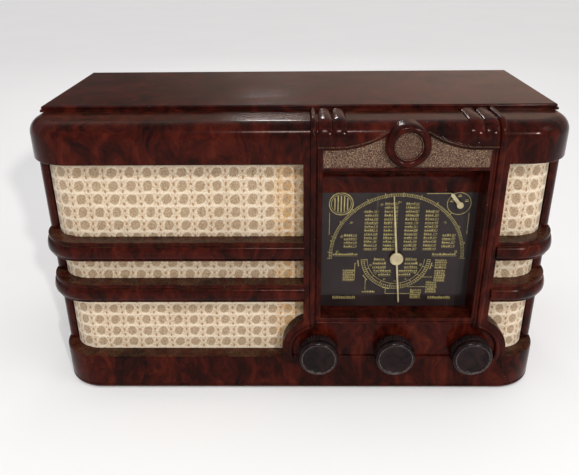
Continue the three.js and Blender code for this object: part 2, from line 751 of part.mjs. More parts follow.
function chassis() {
  const { left, right, front, back, low, high, sheet } = CHASSIS;
  const tray = cut(
    box(left, right, front, back, low, high),
    box(left + sheet, right - sheet, front + sheet, back - sheet, low - 1, high - sheet),
  );
  const holes = KNOB_X.map((x) => rod(x, KNOB_Z, 5 + GAP, 40, 50, SMALL_ROUND));
  const glandHole = rod(REAR_FITTINGS.gland, REAR_FITTINGS.z, 5 + GAP, 190, 210, SMALL_ROUND);
  return cut(tray, ...holes, glandHole);
}

const DECK = CHASSIS.high + GAP;
const BASE_H = 26;

const BASE_PROFILE = [[0, 0], [18, 0], [18, 3], [15, 4], [15, BASE_H - 2], [15.6, BASE_H], [0, BASE_H]];
const valveBase = (x, y) => turnedZ(BASE_PROFILE, x, y, DECK, SMALL_ROUND);

function valveBulb(x, y, radius) {
  const height = radius > 18 ? 92 : 72;
  const neck = 13;
  return turnedZ(
    [
      [0, 0], [neck, 0], [neck, 4], [radius - 1, 16], [radius, 26], [radius - 1.5, height - 30],
      [radius - 5, height - 18], [radius - 7, height - 8], [radius - 11, height - 1.5], [0, height],
    ],
    x, y, DECK + BASE_H + GAP, 18,
  );
}

function powerTransformer() {
  const { x, y } = TRANSFORMER;
  return join(
    box(x - 33, x + 33, y - 17, y + 17, DECK, DECK + 62),
    prism(rectangle(x - 22, x + 22, y - 28, y + 28), "z", DECK + 12, DECK + 50, 3, 2),
    box(x - 33, x + 33, y - 30, y + 30, DECK, DECK + 2),
  );
}

const filterCapacitor = () =>
  turnedZ([[0, 0], [17, 0], [17, 66], [15, 68], [6, 68], [6, 70], [0, 70]], 88, 165, DECK);

const ifCan = (x, y) =>
  join(
    prism(rectangle(x - 16, x + 16, y - 16, y + 16), "z", DECK, DECK + 78, 1.5, 1),
    post(x, y, 4, DECK + 70, DECK + 80, SMALL_ROUND),
  );

function outputTransformer() {
  const [x, y, z] = [-196, 132, WALL + GAP];
  return join(
    box(x - 24, x + 24, y - 9, y + 9, z, z + 38),
    prism(rectangle(x - 15, x + 15, y - 17, y + 17), "z", z + 8, z + 30, 2, 1),
    box(x - 30, x + 30, y - 9, y + 9, z, z + 1.5),
  );
}

function mainsGland() {
  const { gland, z } = REAR_FITTINGS;
  const y = CHASSIS.back;
  const profile = [
    [3.5, y - 4], [7, y - 4], [7, y - CHASSIS.sheet - GAP], [5, y - CHASSIS.sheet - GAP], [5, y + GAP],
    [8, y + GAP], [7, y + 6], [5.5, y + 9], [3.5, y + 9], [3.5, y - 4],
  ];
  return turnedY(profile, gland, z, SMALL_ROUND);
}

function voltageSelector() {
  const { selector, z } = REAR_FITTINGS;
  const y = CHASSIS.back + GAP;
  return cut(
    join(rod(selector, z, 17, y, y + 3), rod(selector, z, 9, y, y + 9, SMALL_ROUND)),
    box(selector - 6, selector + 6, y + 7.5, y + 10, z - 1, z + 1),
  );
}

function terminalStrip() {
  const { terminals, z } = REAR_FITTINGS;
  const y = CHASSIS.back + GAP;
  const sockets = [-24, -8, 8, 24].map((offset) => rod(terminals + offset, z, 2, y + 1, y + 10, 8));
  const collars = [-24, -8, 8, 24].map((offset) => rod(terminals + offset, z, 5, y, y + 6, SMALL_ROUND));
  return cut(join(box(terminals - 34, terminals + 34, y, y + 3, z - 10, z + 10), ...collars), ...sockets);
}

// ---------------------------------------------------------------- rear cover

// Fibreboard with vent slots and one opening for the sockets.
function backCover() {
  const half = HALF_WIDTH - WALL - 0.5;
  const low = WALL + GAP;
  const high = SHELF_Z - 6 - GAP;
  const through = (x0, x1, z0, z1) => box(x0, x1, COVER_Y - 2, COVER_Y + 6, z0, z1);
  const slots = [];
  for (let row = 0; row < 6; row += 1) {
    for (let column = 0; column < 5; column += 1) {
      const x = -200 + column * 84;
      const z = 120 + row * 20;
      slots.push(through(x, x + 64, z, z + 6));
    }
  }
  const screwHoles = [-1, 1].map((side) =>
    rod(side * COVER_SCREW_X, COVER_SCREW_Z, 2, COVER_Y - 2, COVER_Y + 6, 8));
  return cut(box(-half, half, COVER_Y, COVER_Y + COVER_THICK, low, high), ...slots, through(-12, 224, 14, 58),
    ...screwHoles);
}

function coverScrew(side) {
  const face = COVER_Y + COVER_THICK + GAP;
  const profile = [
    [0, COVER_Y - 8], [1.7, COVER_Y - 8], [1.7, face], [4.5, face], [4, face + 1.6], [2, face + 2.4],
    [0, face + 2.5],
  ];
  return turnedY(profile, side * COVER_SCREW_X, COVER_SCREW_Z, 12);
}

// ---------------------------------------------------------------- materials

const finish = (color, roughness, metalness) =>
  new THREE.MeshStandardMaterial({ color, roughness, metalness });
const bakelite = () => finish(0x3a1c16, 0.25, 0);
const darkBakelite = () => finish(0x221719, 0.3, 0);
const cloth = () => finish(0xe0cda8, 0.95, 0);
const board = () => finish(0x6d4a2c, 0.9, 0);
const steel = () => finish(0x8d8f92, 0.4, 1);
const plated = () => finish(0xb4b1a6, 0.3, 1);
const aluminium = () => finish(0xc2c4c6, 0.35, 1);
const brass = () => finish(0xa98a4a, 0.35, 1);
const felt = () => finish(0x3b3a36, 1, 0);
const blackGlass = () => finish(0x2a2324, 0.15, 0);
const clearGlass = () => finish(0xbfc4c4, 0.05, 0);
const cream = () => finish(0xd8c9a2, 0.5, 0);
const paper = () => finish(0x2b2623, 0.95, 0);
const greyPaint = () => finish(0x6a6f70, 0.6, 0.2);
const cordMaterial = () => finish(0x5a4a34, 0.9, 0);
const iron = () => finish(0x34322f, 0.6, 0.7);
const rubber = () => finish(0x1c1b1a, 0.9, 0);

// ---------------------------------------------------------------- assembly

const radio = new THREE.Group();

function add(name, body, material) {
  const mesh = new THREE.Mesh(geometryOf(body), material);
  mesh.name = name;
  radio.add(mesh);
}

add("cabinet", cabinet(), bakelite());
for (const [name, x, y] of FEET) add(name, post(x, y, FOOT_R, -FOOT_Z, POCKET - GAP, SMALL_ROUND), felt());
for (const [side, word] of [[-1, "left"], [1, "right"]]) {
  add("side_screw_" + word, sideScrew(side), brass());
  add("grille_cloth_" + word, grilleCloth(side), cloth());
  add("baffle_board_" + word, baffleBoard(side), board());
  add("back_cover_screw_" + word, coverScrew(side), plated());
}

add("speaker_basket", speakerBasket(), greyPaint());
add("speaker_cone", speakerCone(), paper());
add("speaker_magnet", speakerMagnet(), iron());
add("output_transformer", outputTransformer(), iron());

add("dial_glass", dialGlass(), blackGlass());
add("dial_bracket", dialBracket(), plated());
add("dial_lamp_left", dialLamp(40), clearGlass());
add("dial_lamp_right", dialLamp(169), clearGlass());
add("dial_pointer", dialPointer(), cream());
add("band_pointer", bandPointer(), cream());
add("band_pointer_shaft", bandPointerShaft(), brass());

add("pointer_shaft", pointerShaft(), plated());
add("cord_drum", cordDrum(), aluminium());
add("dial_drive_cord", driveCord(), cordMaterial());
add("band_cord", bandCord(), cordMaterial());
add("capacitor_rotor", capacitorRotor(), aluminium());
add("capacitor_stator", capacitorStator(), aluminium());
add("capacitor_frame", capacitorFrame(), steel());

add("volume_knob", knob(KNOB_X[0]), darkBakelite());
add("tuning_knob", knob(KNOB_X[1]), darkBakelite());
add("band_knob", knob(KNOB_X[2]), darkBakelite());
add("volume_shaft", controlShaft(KNOB_X[0]), steel());
add("tuning_spindle", controlShaft(KNOB_X[1]), steel());
add("band_shaft", bandShaft(), steel());
add("volume_control", volumeControl(), greyPaint());
add("tuning_bush", tuningBush(), brass());
add("band_switch", bandSwitch(), board());

add("chassis", chassis(), plated());
add("power_transformer", powerTransformer(), iron());
add("filter_capacitor", filterCapacitor(), aluminium());
add("if_can_1", ifCan(-8, 84), aluminium());
add("if_can_2", ifCan(206, 84), aluminium());
for (const [name, x, y, radius] of VALVES) {
  add(name + "_base", valveBase(x, y), darkBakelite());
  add(name + "_bulb", valveBulb(x, y, radius), clearGlass());
}

add("back_cover", backCover(), board());
add("mains_gland", mainsGland(), rubber());
add("voltage_selector", voltageSelector(), darkBakelite());
add("terminal_strip", terminalStrip(), board());

radio.position.set(0, -(DEPTH + KNOB_FRONT) / 2, FOOT_Z);

export default radio;
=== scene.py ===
import json
import math
import random

import bmesh
import bpy
import numpy as np
from mathutils import Matrix, Vector, geometry, noise


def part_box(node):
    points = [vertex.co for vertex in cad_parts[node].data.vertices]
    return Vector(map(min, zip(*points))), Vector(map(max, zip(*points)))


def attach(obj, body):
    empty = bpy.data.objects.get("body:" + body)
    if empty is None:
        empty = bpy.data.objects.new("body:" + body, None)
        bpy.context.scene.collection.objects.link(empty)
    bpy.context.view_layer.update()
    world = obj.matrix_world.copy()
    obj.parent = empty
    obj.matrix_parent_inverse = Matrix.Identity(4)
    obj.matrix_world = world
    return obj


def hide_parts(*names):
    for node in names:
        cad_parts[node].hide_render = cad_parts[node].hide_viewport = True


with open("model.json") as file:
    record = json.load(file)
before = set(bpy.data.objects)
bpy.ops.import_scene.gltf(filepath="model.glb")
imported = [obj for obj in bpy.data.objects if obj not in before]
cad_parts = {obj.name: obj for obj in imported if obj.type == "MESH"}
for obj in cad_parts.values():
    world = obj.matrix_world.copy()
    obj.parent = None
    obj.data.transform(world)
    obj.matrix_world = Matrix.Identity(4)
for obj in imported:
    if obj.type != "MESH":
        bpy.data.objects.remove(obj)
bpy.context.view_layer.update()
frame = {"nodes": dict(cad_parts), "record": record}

# Shapes are drawn in millimetres in the case's own frame: X from the middle, Y backwards from the
# front plane, Z up from the underside. to_row() puts them in the row frame, in metres.
KNOB_FRONT = -17.4
FRONT_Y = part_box("volume_knob")[0][1] - KNOB_FRONT * 0.001
UNDER_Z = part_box("cabinet")[0][2]


def to_row(points):
    moved = np.asarray(points, float).reshape(-1, 3) * 0.001
    moved[:, 1] += FRONT_Y
    moved[:, 2] += UNDER_Z
    return moved


# ---------------------------------------------------------------- camera, lights and floor

CAMERA_AT = (1.279, -537.488, 423.472)
CAMERA_PAN, CAMERA_TILT, CAMERA_ROLL = (math.radians(angle) for angle in (0.979, 64.983, -0.552))
CAMERA_LENS = 39.68
WARM_WHITE = (1, 0.97, 0.95)
SKY_STRENGTH = 0.66


def add_camera():
    data = bpy.data.cameras.new("camera")
    data.sensor_width = 36
    data.lens = CAMERA_LENS
    data.clip_start = 0.01
    camera = bpy.data.objects.new("camera", data)
    bpy.context.collection.objects.link(camera)
    turn = Matrix.Rotation(CAMERA_PAN, 4, "Z") @ Matrix.Rotation(CAMERA_TILT, 4, "X")
    roll = Matrix.Rotation(CAMERA_ROLL, 4, "Z")
    camera.matrix_world = Matrix.Translation(to_row(CAMERA_AT)[0]) @ turn @ roll
    bpy.context.scene.camera = camera


def add_area_light(name, at, towards, width, height, watts, tint=(1, 1, 1)):
    data = bpy.data.lights.new(name, "AREA")
    data.shape = "RECTANGLE"
    data.size = width
    data.size_y = height
    data.energy = watts
    data.color = tint
    lamp = bpy.data.objects.new(name, data)
    bpy.context.collection.objects.link(lamp)
    lamp.location = at
    lamp.rotation_euler = (Vector(towards) - Vector(at)).to_track_quat("-Z", "Y").to_euler()


def add_sun(name, along, strength, degrees, tint):
    data = bpy.data.lights.new(name, "SUN")
    data.energy = strength
    data.angle = math.radians(degrees)
    data.color = tint
    sun = bpy.data.objects.new(name, data)
    bpy.context.collection.objects.link(sun)
    sun.rotation_euler = Vector(along).to_track_quat("-Z", "Y").to_euler()


def add_world():
    """A pale sky. Low behind the radio it is as brown and dim as a room, for the top to reflect."""
    world = bpy.data.worlds.new("studio")
    world.use_nodes = True
    sky = Nodes(world.node_tree)
    direction = sky.tree.nodes.new("ShaderNodeSeparateXYZ")
    sky.put(direction.inputs[0], sky.node("ShaderNodeTexCoord", "Generated"))
    across, back, up = direction.outputs
    behind = sky.ramp(back, (0.1, 0.0), (0.7, 1.0))
    low = sky.ramp(up, (0.35, 1.0), (0.7, 0.0))
    above = sky.ramp(up, (0.02, 0.0), (0.10, 1.0))
    sideways = sky.math("MULTIPLY_ADD", across, 0.5, 0.5)
    room = sky.ramp(sideways, (0.36, (0.20, 0.125, 0.105)), (0.62, (0.86, 0.62, 0.50)))
    amount = sky.math("MULTIPLY", sky.math("MULTIPLY", behind, above), low)
    background = world.node_tree.nodes["Background"]
    sky.put(background.inputs["Color"], sky.mix(amount, (0.97, 0.98, 1.0), room))
    background.inputs["Strength"].default_value = SKY_STRENGTH
    bpy.context.scene.world = world


# ---------------------------------------------------------------- node helper

class Nodes:
    """A node tree under construction: each method adds a node and returns the socket to link on."""

    def __init__(self, tree):
        self.tree = tree

    def put(self, socket, value):
        if isinstance(value, bpy.types.NodeSocket):
            self.tree.links.new(value, socket)
        elif isinstance(value, tuple) and len(value) == 3 and socket.type == "RGBA":
            socket.default_value = (*value, 1)
        else:
            socket.default_value = value

    def node(self, kind, output=0, **settings):
        made = self.tree.nodes.new(kind)
        for name, value in settings.items():
            if hasattr(made, name) and not isinstance(value, bpy.types.NodeSocket):
                setattr(made, name, value)
            else:
                self.put(made.inputs[name.replace("_", " ")], value)
        return made.outputs[output]

    def noise(self, where, scale, detail=4.0, rough=0.55, distort=0.0, output="Factor"):
        made = self.tree.nodes.new("ShaderNodeTexNoise")
        self.put(made.inputs["Vector"], where)
        self.put(made.inputs["Scale"], scale)
        self.put(made.inputs["Detail"], detail)
        self.put(made.inputs["Roughness"], rough)
        self.put(made.inputs["Distortion"], distort)
        return made.outputs[0] if output == "Factor" else made.outputs[1]

    def math(self, operation, a, b=0.0, c=0.0):
        made = self.tree.nodes.new("ShaderNodeMath")
        made.operation = operation
        for socket, value in zip(made.inputs, (a, b, c)):
            self.put(socket, value)
        return made.outputs[0]

    def ramp(self, factor, *stops):
        made = self.tree.nodes.new("ShaderNodeValToRGB")
        self.put(made.inputs[0], factor)
        elements = made.color_ramp.elements
        while len(elements) < len(stops):
            elements.new(0.5)
        for element, (at, colour) in zip(elements, stops):
            element.position = at
            element.color = (*colour, 1) if isinstance(colour, tuple) else (colour, colour, colour, 1)
        return made.outputs[0]

    def between(self, value, low, high):
        """0 below low, 1 above high, smooth in between."""
        made = self.tree.nodes.new("ShaderNodeMapRange")
        made.interpolation_type = "SMOOTHSTEP"
        self.put(made.inputs["Value"], value)
        self.put(made.inputs["From Min"], low)
        self.put(made.inputs["From Max"], high)
        return made.outputs[0]

    def mix(self, factor, a, b, blend="MIX"):
        made = self.tree.nodes.new("ShaderNodeMix")
        made.data_type = "RGBA"
        made.blend_type = blend
        self.put(made.inputs[0], factor)
        self.put(made.inputs[6], a)
        self.put(made.inputs[7], b)
        return made.outputs[2]


class Shader(Nodes):
    """A material under construction, built up to the sockets of its surface."""

    def __init__(self, name):
        self.material = bpy.data.materials.new(name)
        self.material.use_nodes = True
        super().__init__(self.material.node_tree)
        self.surface = self.tree.nodes["Principled BSDF"]

    def set(self, **values):
        for name, value in values.items():
            self.put(self.surface.inputs[name.replace("_", " ")], value)

    def place(self):
        return self.node("ShaderNodeTexCoord", "Object")

    def stretched(self, scale, turn=(0, 0, 0)):
        return self.node("ShaderNodeMapping", Vector=self.place(), Scale=scale, Rotation=turn)

    def attribute(self, name):
        return self.node("ShaderNodeAttribute", "Fac", attribute_name=name)

    def facing_up(self):
        split = self.tree.nodes.new("ShaderNodeSeparateXYZ")
        self.put(split.inputs[0], self.node("ShaderNodeNewGeometry", "Normal"))
        return split.outputs[2]

    def bump(self, height, distance, strength=1.0):
        made = self.tree.nodes.new("ShaderNodeBump")
        self.put(made.inputs["Height"], height)
        self.put(made.inputs["Distance"], distance)
        self.put(made.inputs["Strength"], strength)
        self.put(self.surface.inputs["Normal"], made.outputs[0])


# ---------------------------------------------------------------- materials

def bakelite_material():
    """Dark burl: streaks that swirl slantwise, near-black between red-brown. The attribute sand marks
    the grained panels, and along the crest of the arch line it paints a highlight in their lighter
    colour; dust marks the ledges where it has settled."""
    s = Shader("burl_bakelite")
    place = s.place()
    warp = s.noise(place, 14.0, 3.0, 0.5, 0.0, "Color")
    bent = s.mix(0.02, place, warp, "LINEAR_LIGHT")
    streaks = s.node("ShaderNodeMapping", Vector=bent, Scale=(1.0, 1.0, 0.45), Rotation=(0.25, 0.8, 0.2))
    burl = s.noise(streaks, 52.0, 8.0, 0.66, 0.9)
    fine = s.noise(streaks, 210.0, 5.0, 0.6, 0.6)
    clouds = s.noise(place, 9.0, 2.0)
    tone = s.math("ADD", s.math("MULTIPLY", burl, 0.72), s.math("MULTIPLY", fine, 0.16))
    tone = s.math("ADD", tone, s.math("MULTIPLY", clouds, 0.14))
    colour = s.ramp(
        tone,
        (0.37, (0.0022, 0.0007, 0.0007)),
        (0.46, (0.0120, 0.0018, 0.0012)),
        (0.54, (0.0300, 0.0034, 0.0019)),
        (0.68, (0.0640, 0.0095, 0.0042)),
    )
    sand = s.attribute("sand")
    grit = s.noise(place, 1000.0, 4.0, 0.8)
    sand_and_highlight_colour = s.ramp(grit, (0.42, (0.022, 0.011, 0.008)), (0.51, (0.085, 0.047, 0.038)),
                         (0.64, (0.30, 0.21, 0.12)))
    # Grained colour; along the crest of the arch line this lighter colour is a painted highlight.
    colour = s.mix(sand, colour, sand_and_highlight_colour)
    up = s.between(s.facing_up(), 0.80, 0.98)
    patches = s.between(s.noise(place, 55.0, 5.0, 0.65), 0.34, 0.72)
    settled = s.math("MULTIPLY", s.attribute("dust"), up)
    dust = s.math("MULTIPLY", settled, s.math("MULTIPLY_ADD", patches, 0.34, 0.06))
    colour = s.mix(dust, colour, s.ramp(s.noise(place, 420.0, 3.0, 0.7), (0.35, (0.060, 0.026, 0.012)),
                                       (0.7, (0.19, 0.105, 0.055))))
    specks = s.between(s.noise(place, 430.0, 2.0), 0.765, 0.80)
    colour = s.mix(s.math("MULTIPLY", specks, 0.6), colour, (0.42, 0.38, 0.33))
    film = s.between(s.noise(place, 26.0, 4.0, 0.6), 0.35, 0.75)
    rough = s.math("MULTIPLY_ADD", film, 0.08, 0.14)
    rough = s.math("MAXIMUM", rough, s.math("MULTIPLY", sand, 0.62))
    rough = s.math("MAXIMUM", rough, s.math("MULTIPLY", dust, 0.75))
    s.set(Base_Color=colour, Roughness=rough)
    s.surface.inputs["Specular IOR Level"].default_value = 0.10
    s.surface.inputs["Specular Tint"].default_value = (1.0, 0.72, 0.66, 1)
    relief = s.math("MULTIPLY_ADD", s.noise(place, 240.0, 4.0, 0.6), 0.05,
                    s.math("MULTIPLY", s.math("ADD", sand, dust), grit))
    s.bump(relief, 0.00022)
    return s.material


def knob_material():
    s = Shader("black_bakelite")
    place = s.place()
    mottle = s.noise(place, 70.0, 5.0, 0.6, 1.2)
    worn = s.attribute("worn")
    scratch = s.noise(s.stretched((1, 0.15, 1)), 520.0, 4.0, 0.7)
    colour = s.ramp(mottle, (0.38, (0.0045, 0.0026, 0.0030)), (0.68, (0.017, 0.0075, 0.0075)))
    edge = s.math("MULTIPLY", worn, s.math("MULTIPLY_ADD", s.between(scratch, 0.40, 0.62), 0.6, 0.15))
    colour = s.mix(edge, colour, (0.115, 0.085, 0.078))
    s.surface.inputs["Specular IOR Level"].default_value = 0.10
    worn = s.math("MULTIPLY_ADD", mottle, 0.12, 0.16)
    s.set(Base_Color=colour, Roughness=s.math("MULTIPLY_ADD", edge, 0.25, worn))
    s.bump(scratch, 0.00004)
    return s.material


def cloth_material():
    """Openwork loudspeaker cloth. The map weave gives the place on the cloth in metres. Round brown
    cells stand in columns, with a ladder of small holes between the columns, all of cream thread."""
    s = Shader("lace_cloth")
    weave = s.node("ShaderNodeUVMap", uv_map="weave")
    wander = s.noise(weave, 85.0, 3.0, 0.6, 0.0, "Color")
    bent = s.mix(0.0018, weave, wander, "LINEAR_LIGHT")
    split = s.tree.nodes.new("ShaderNodeSeparateXYZ")
    s.put(split.inputs[0], bent)
    across = s.math("DIVIDE", split.outputs[0], CELL_PITCH[0] * 0.001)
    along = s.math("DIVIDE", split.outputs[1], CELL_PITCH[1] * 0.001)

    def signed_part(value, shift):
        return s.math("SUBTRACT", s.math("FRACT", s.math("ADD", value, shift)), 0.5)

    cell_x = s.math("MULTIPLY", signed_part(across, 0.0), CELL_PITCH[0])
    cell_z = s.math("MULTIPLY", signed_part(along, 0.0), CELL_PITCH[1])

    def length(x, z):
        return s.math("SQRT", s.math("ADD", s.math("MULTIPLY", x, x), s.math("MULTIPLY", z, z)))

    skew = s.math("MULTIPLY_ADD", cell_z, 0.15, cell_x)
    radius = length(skew, s.math("MULTIPLY", cell_z, 0.86))
    ragged = s.math("MULTIPLY_ADD", s.noise(weave, 330.0, 4.0, 0.7), 4.2, -2.1)
    cell = s.between(s.math("ADD", radius, ragged), 5.5, 3.6)
    ring = s.between(s.math("ABSOLUTE", s.math("SUBTRACT", s.math("ADD", radius, ragged), 5.3)), 1.1, 0.2)
    hole_x = s.math("MULTIPLY", signed_part(across, 0.5), CELL_PITCH[0])
    hole_z = s.math("MULTIPLY", signed_part(s.math("MULTIPLY", along, 2.0), 0.25), CELL_PITCH[1] / 2)
    pin = s.between(length(s.math("MULTIPLY", hole_x, 1.05), s.math("MULTIPLY", hole_z, 0.62)), 1.30, 0.75)
    small_x = s.math("SUBTRACT", s.math("ABSOLUTE", hole_x), 2.5)
    small_z = s.math("MULTIPLY", signed_part(s.math("MULTIPLY", along, 2.0), 0.75), CELL_PITCH[1] / 2)
    faint = s.math("MULTIPLY", s.between(length(small_x, small_z), 0.85, 0.40), 0.45)
    threads = s.noise(s.node("ShaderNodeMapping", Vector=bent, Scale=(1.0, 2.6, 1.0), Rotation=(0, 0, 0.5)),
                      780.0, 3.0, 0.7)
    cross = s.noise(s.node("ShaderNodeMapping", Vector=bent, Scale=(2.6, 1.0, 1.0), Rotation=(0, 0, -0.5)),
                    780.0, 3.0, 0.7)
    fibre = s.math("MULTIPLY", s.math("ADD", threads, cross), 0.5)
    cream = s.ramp(fibre, (0.40, (0.200, 0.125, 0.066)), (0.48, (0.45, 0.335, 0.220)),
                   (0.57, (0.66, 0.555, 0.425)))
    inside = s.ramp(fibre, (0.40, (0.105, 0.062, 0.030)), (0.48, (0.27, 0.180, 0.100)),
                    (0.58, (0.54, 0.40, 0.255)))
    colour = s.mix(s.math("MULTIPLY", cell, 0.88), cream, inside)
    colour = s.mix(s.math("MULTIPLY", ring, 0.30), colour, (0.78, 0.68, 0.53))
    band = s.between(s.math("ABSOLUTE", cell_z), 4.4, 6.0)
    colour = s.mix(s.math("MULTIPLY", band, 0.35), colour, (0.76, 0.67, 0.53))
    mesh_x = signed_part(s.math("MULTIPLY", across, 12.0), 0.0)
    mesh_z = signed_part(s.math("MULTIPLY", along, 10.0), 0.0)
    mesh = s.math("MULTIPLY", cell, s.between(length(mesh_x, mesh_z), 0.42, 0.18))
    colour = s.mix(s.math("MULTIPLY", mesh, 0.45), colour, (0.10, 0.055, 0.025))
    colour = s.mix(s.math("MULTIPLY", pin, 0.85), colour, (0.27, 0.135, 0.036))
    colour = s.mix(faint, colour, (0.24, 0.14, 0.062))
    age = s.between(s.noise(weave, 17.0, 4.0, 0.6), 0.45, 0.80)
    colour = s.mix(s.math("MULTIPLY", age, 0.30), colour, (0.52, 0.43, 0.33), "MULTIPLY")
    stain = s.attribute("stain")
    soiled = s.math("MULTIPLY", stain, s.between(s.noise(weave, 210.0, 4.0, 0.7), 0.40, 0.60))
    colour = s.mix(s.math("MULTIPLY", soiled, 0.85), colour, (0.50, 0.235, 0.025))
    s.set(Base_Color=colour, Roughness=0.85)
    s.surface.inputs["Sheen Weight"].default_value = 0.15
    depth = s.math("ADD", s.math("MULTIPLY", cell, -0.5), s.math("MULTIPLY", pin, -0.9))
    s.bump(s.math("ADD", depth, s.math("MULTIPLY", fibre, 0.9)), 0.0005, 0.8)
    return s.material


def metal_material(name, dark, light, roughness, grain=(1, 1, 1), scale=240.0, metallic=1.0):
    s = Shader(name)
    where = s.stretched(grain)
    grains = s.noise(where, scale, 5.0, 0.6)
    stains = s.noise(s.place(), 38.0, 4.0, 0.6, 0.6)
    tone = s.math("MULTIPLY_ADD", stains, 0.6, s.math("MULTIPLY", grains, 0.4))
    s.set(Base_Color=s.ramp(tone, (0.35, dark), (0.65, light)),
          Roughness=s.math("MULTIPLY_ADD", grains, 0.22, roughness - 0.11))
    s.surface.inputs["Metallic"].default_value = metallic
    s.bump(grains, 0.00006)
    return s.material


def board_material(name, dark, light, flecks, roughness=0.8, fibre=420.0):
    s = Shader(name)
    place = s.place()
    fibres = s.noise(s.stretched((1, 1, 0.3), (0, 0.6, 0)), fibre, 6.0, 0.7, 0.4)
    broad = s.noise(place, 16.0, 4.0)
    tone = s.math("MULTIPLY_ADD", broad, 0.4, s.math("MULTIPLY", fibres, 0.6))
    colour = s.ramp(tone, (0.36, dark), (0.66, light))
    marks = s.between(s.noise(place, 310.0, 2.0), 0.66, 0.70)
    s.set(Base_Color=s.mix(s.math("MULTIPLY", marks, 0.5), colour, flecks),
          Roughness=s.math("MULTIPLY_ADD", fibres, 0.12, roughness - 0.06))
    s.bump(fibres, 0.00025)
    return s.material


def glass_print_material():
    """The dial's glass: near-black brown paint behind a smooth face with a few scratches and dust."""
    s = Shader("dial_glass")
    place = s.place()
    haze = s.noise(place, 24.0, 4.0, 0.6)
    scratch = s.between(s.noise(s.stretched((1, 1, 0.06), (0, 0.5, 0)), 300.0, 2.0), 0.70, 0.75)
    colour = s.ramp(haze, (0.35, (0.0125, 0.0080, 0.0082)), (0.7, (0.022, 0.0145, 0.0145)))
    colour = s.mix(s.math("MULTIPLY", scratch, 0.12), colour, (0.2, 0.18, 0.17))
    s.surface.inputs["Specular IOR Level"].default_value = 0.2
    s.set(Base_Color=colour, Roughness=s.math("MULTIPLY_ADD", haze, 0.12, 0.06))
    s.bump(haze, 0.00003)
    return s.material


def gilt_material(name, dark, light, roughness=0.5):
    s = Shader(name)
    place = s.place()
    wear = s.noise(place, 130.0, 5.0, 0.7)
    s.set(Base_Color=s.ramp(wear, (0.34, dark), (0.62, light)),
          Roughness=s.math("MULTIPLY_ADD", wear, 0.2, roughness - 0.1))
    s.bump(s.noise(place, 900.0, 3.0), 0.00003)
    return s.material


def clear_glass_material():
    s = Shader("blown_glass")
    place = s.place()
    ripple = s.noise(s.stretched((1, 1, 0.4)), 60.0, 3.0)
    getter = s.between(s.noise(place, 45.0, 3.0), 0.45, 0.7)
    s.set(Base_Color=s.ramp(getter, (0.0, (0.80, 0.83, 0.82)), (1.0, (0.42, 0.42, 0.41))),
          Roughness=s.math("MULTIPLY_ADD", ripple, 0.08, 0.02))
    s.surface.inputs["Transmission Weight"].default_value = 0.85
    s.surface.inputs["IOR"].default_value = 1.48
    s.bump(ripple, 0.0002)
    return s.material


def floor_material():
    s = Shader("pale_floor")
    tone = s.noise(s.place(), 3.0, 4.0)
    s.set(Base_Color=s.ramp(tone, (0.3, (0.92, 0.92, 0.92)), (0.7, (0.94, 0.94, 0.94))), Roughness=0.75)
    s.surface.inputs["Specular IOR Level"].default_value = 0.2
    return s.material


CELL_PITCH = (16.1, 13.2)

MATERIALS = {
    "bakelite": bakelite_material(),
    "knob_bakelite": knob_material(),
    "grille_cloth": cloth_material(),
    "fibreboard": board_material("pressed_board", (0.13, 0.068, 0.030), (0.30, 0.18, 0.088),
                                 (0.05, 0.03, 0.02)),
    "felt": board_material("felt_pad", (0.030, 0.028, 0.026), (0.085, 0.078, 0.070), (0.2, 0.19, 0.17), 0.95,
                           900.0),
    "brass": metal_material("dull_brass", (0.24, 0.155, 0.050), (0.52, 0.38, 0.15), 0.38),
    "plated_steel": metal_material("zinc_plate", (0.36, 0.33, 0.24), (0.60, 0.57, 0.48), 0.42),
    "turned_steel": metal_material("turned_steel", (0.30, 0.30, 0.31), (0.55, 0.55, 0.56), 0.30, (1, 6, 1)),
    "grey_paint": metal_material("grey_enamel", (0.12, 0.135, 0.135), (0.21, 0.23, 0.23), 0.42, metallic=0.0),
    "core_iron": metal_material("lacquered_iron", (0.020, 0.018, 0.017), (0.085, 0.060, 0.042), 0.5,
                                (1, 1, 9),
                                metallic=0.2),
    "aluminium": metal_material("satin_aluminium", (0.50, 0.50, 0.51), (0.72, 0.72, 0.73), 0.34, (1, 1, 7)),
    "dial_print": glass_print_material(),
    "clear_glass": clear_glass_material(),
    "cream_enamel": gilt_material("cream_enamel", (0.33, 0.26, 0.14), (0.60, 0.51, 0.32)),
    "cone_paper": board_material("cone_paper", (0.018, 0.015, 0.012), (0.050, 0.043, 0.036),
                                 (0.1, 0.09, 0.08)),
    "drive_cord": board_material("waxed_cord", (0.10, 0.065, 0.030), (0.26, 0.19, 0.11), (0.05, 0.03, 0.02),
                                 0.7,
                                 1500.0),
    "rubber": board_material("rubber", (0.012, 0.012, 0.012), (0.035, 0.034, 0.033), (0.08, 0.08, 0.08), 0.7,
                             260.0),
    "socket_phenolic": board_material("phenolic", (0.060, 0.028, 0.016), (0.15, 0.082, 0.048),
                                      (0.03, 0.015, 0.01), 0.45),
}
GOLD = gilt_material("dial_gold", (0.15, 0.118, 0.036), (0.33, 0.27, 0.095), 0.6)
POINTER = gilt_material("pointer_paint", (0.26, 0.21, 0.115), (0.42, 0.35, 0.205), 0.42)


# ---------------------------------------------------------------- mesh helpers

class Shell:
    """Vertices, in case millimetres, and faces of one or more closed skins."""

    def __init__(self):
        self.points = []
        self.faces = []
        self.marks = {}

    def add(self, points, faces, **marks):
        base = len(self.points)
        points = [tuple(float(c) for c in p) for p in points]
        self.points.extend(points)
        self.faces.extend(tuple(int(i) + base for i in face) for face in faces)
        for name, values in marks.items():
            filled = self.marks.setdefault(name, [])
            filled.extend([0.0] * (base - len(filled)))
            filled.extend([float(values)] * len(points) if np.isscalar(values)
                          else [float(v) for v in values])


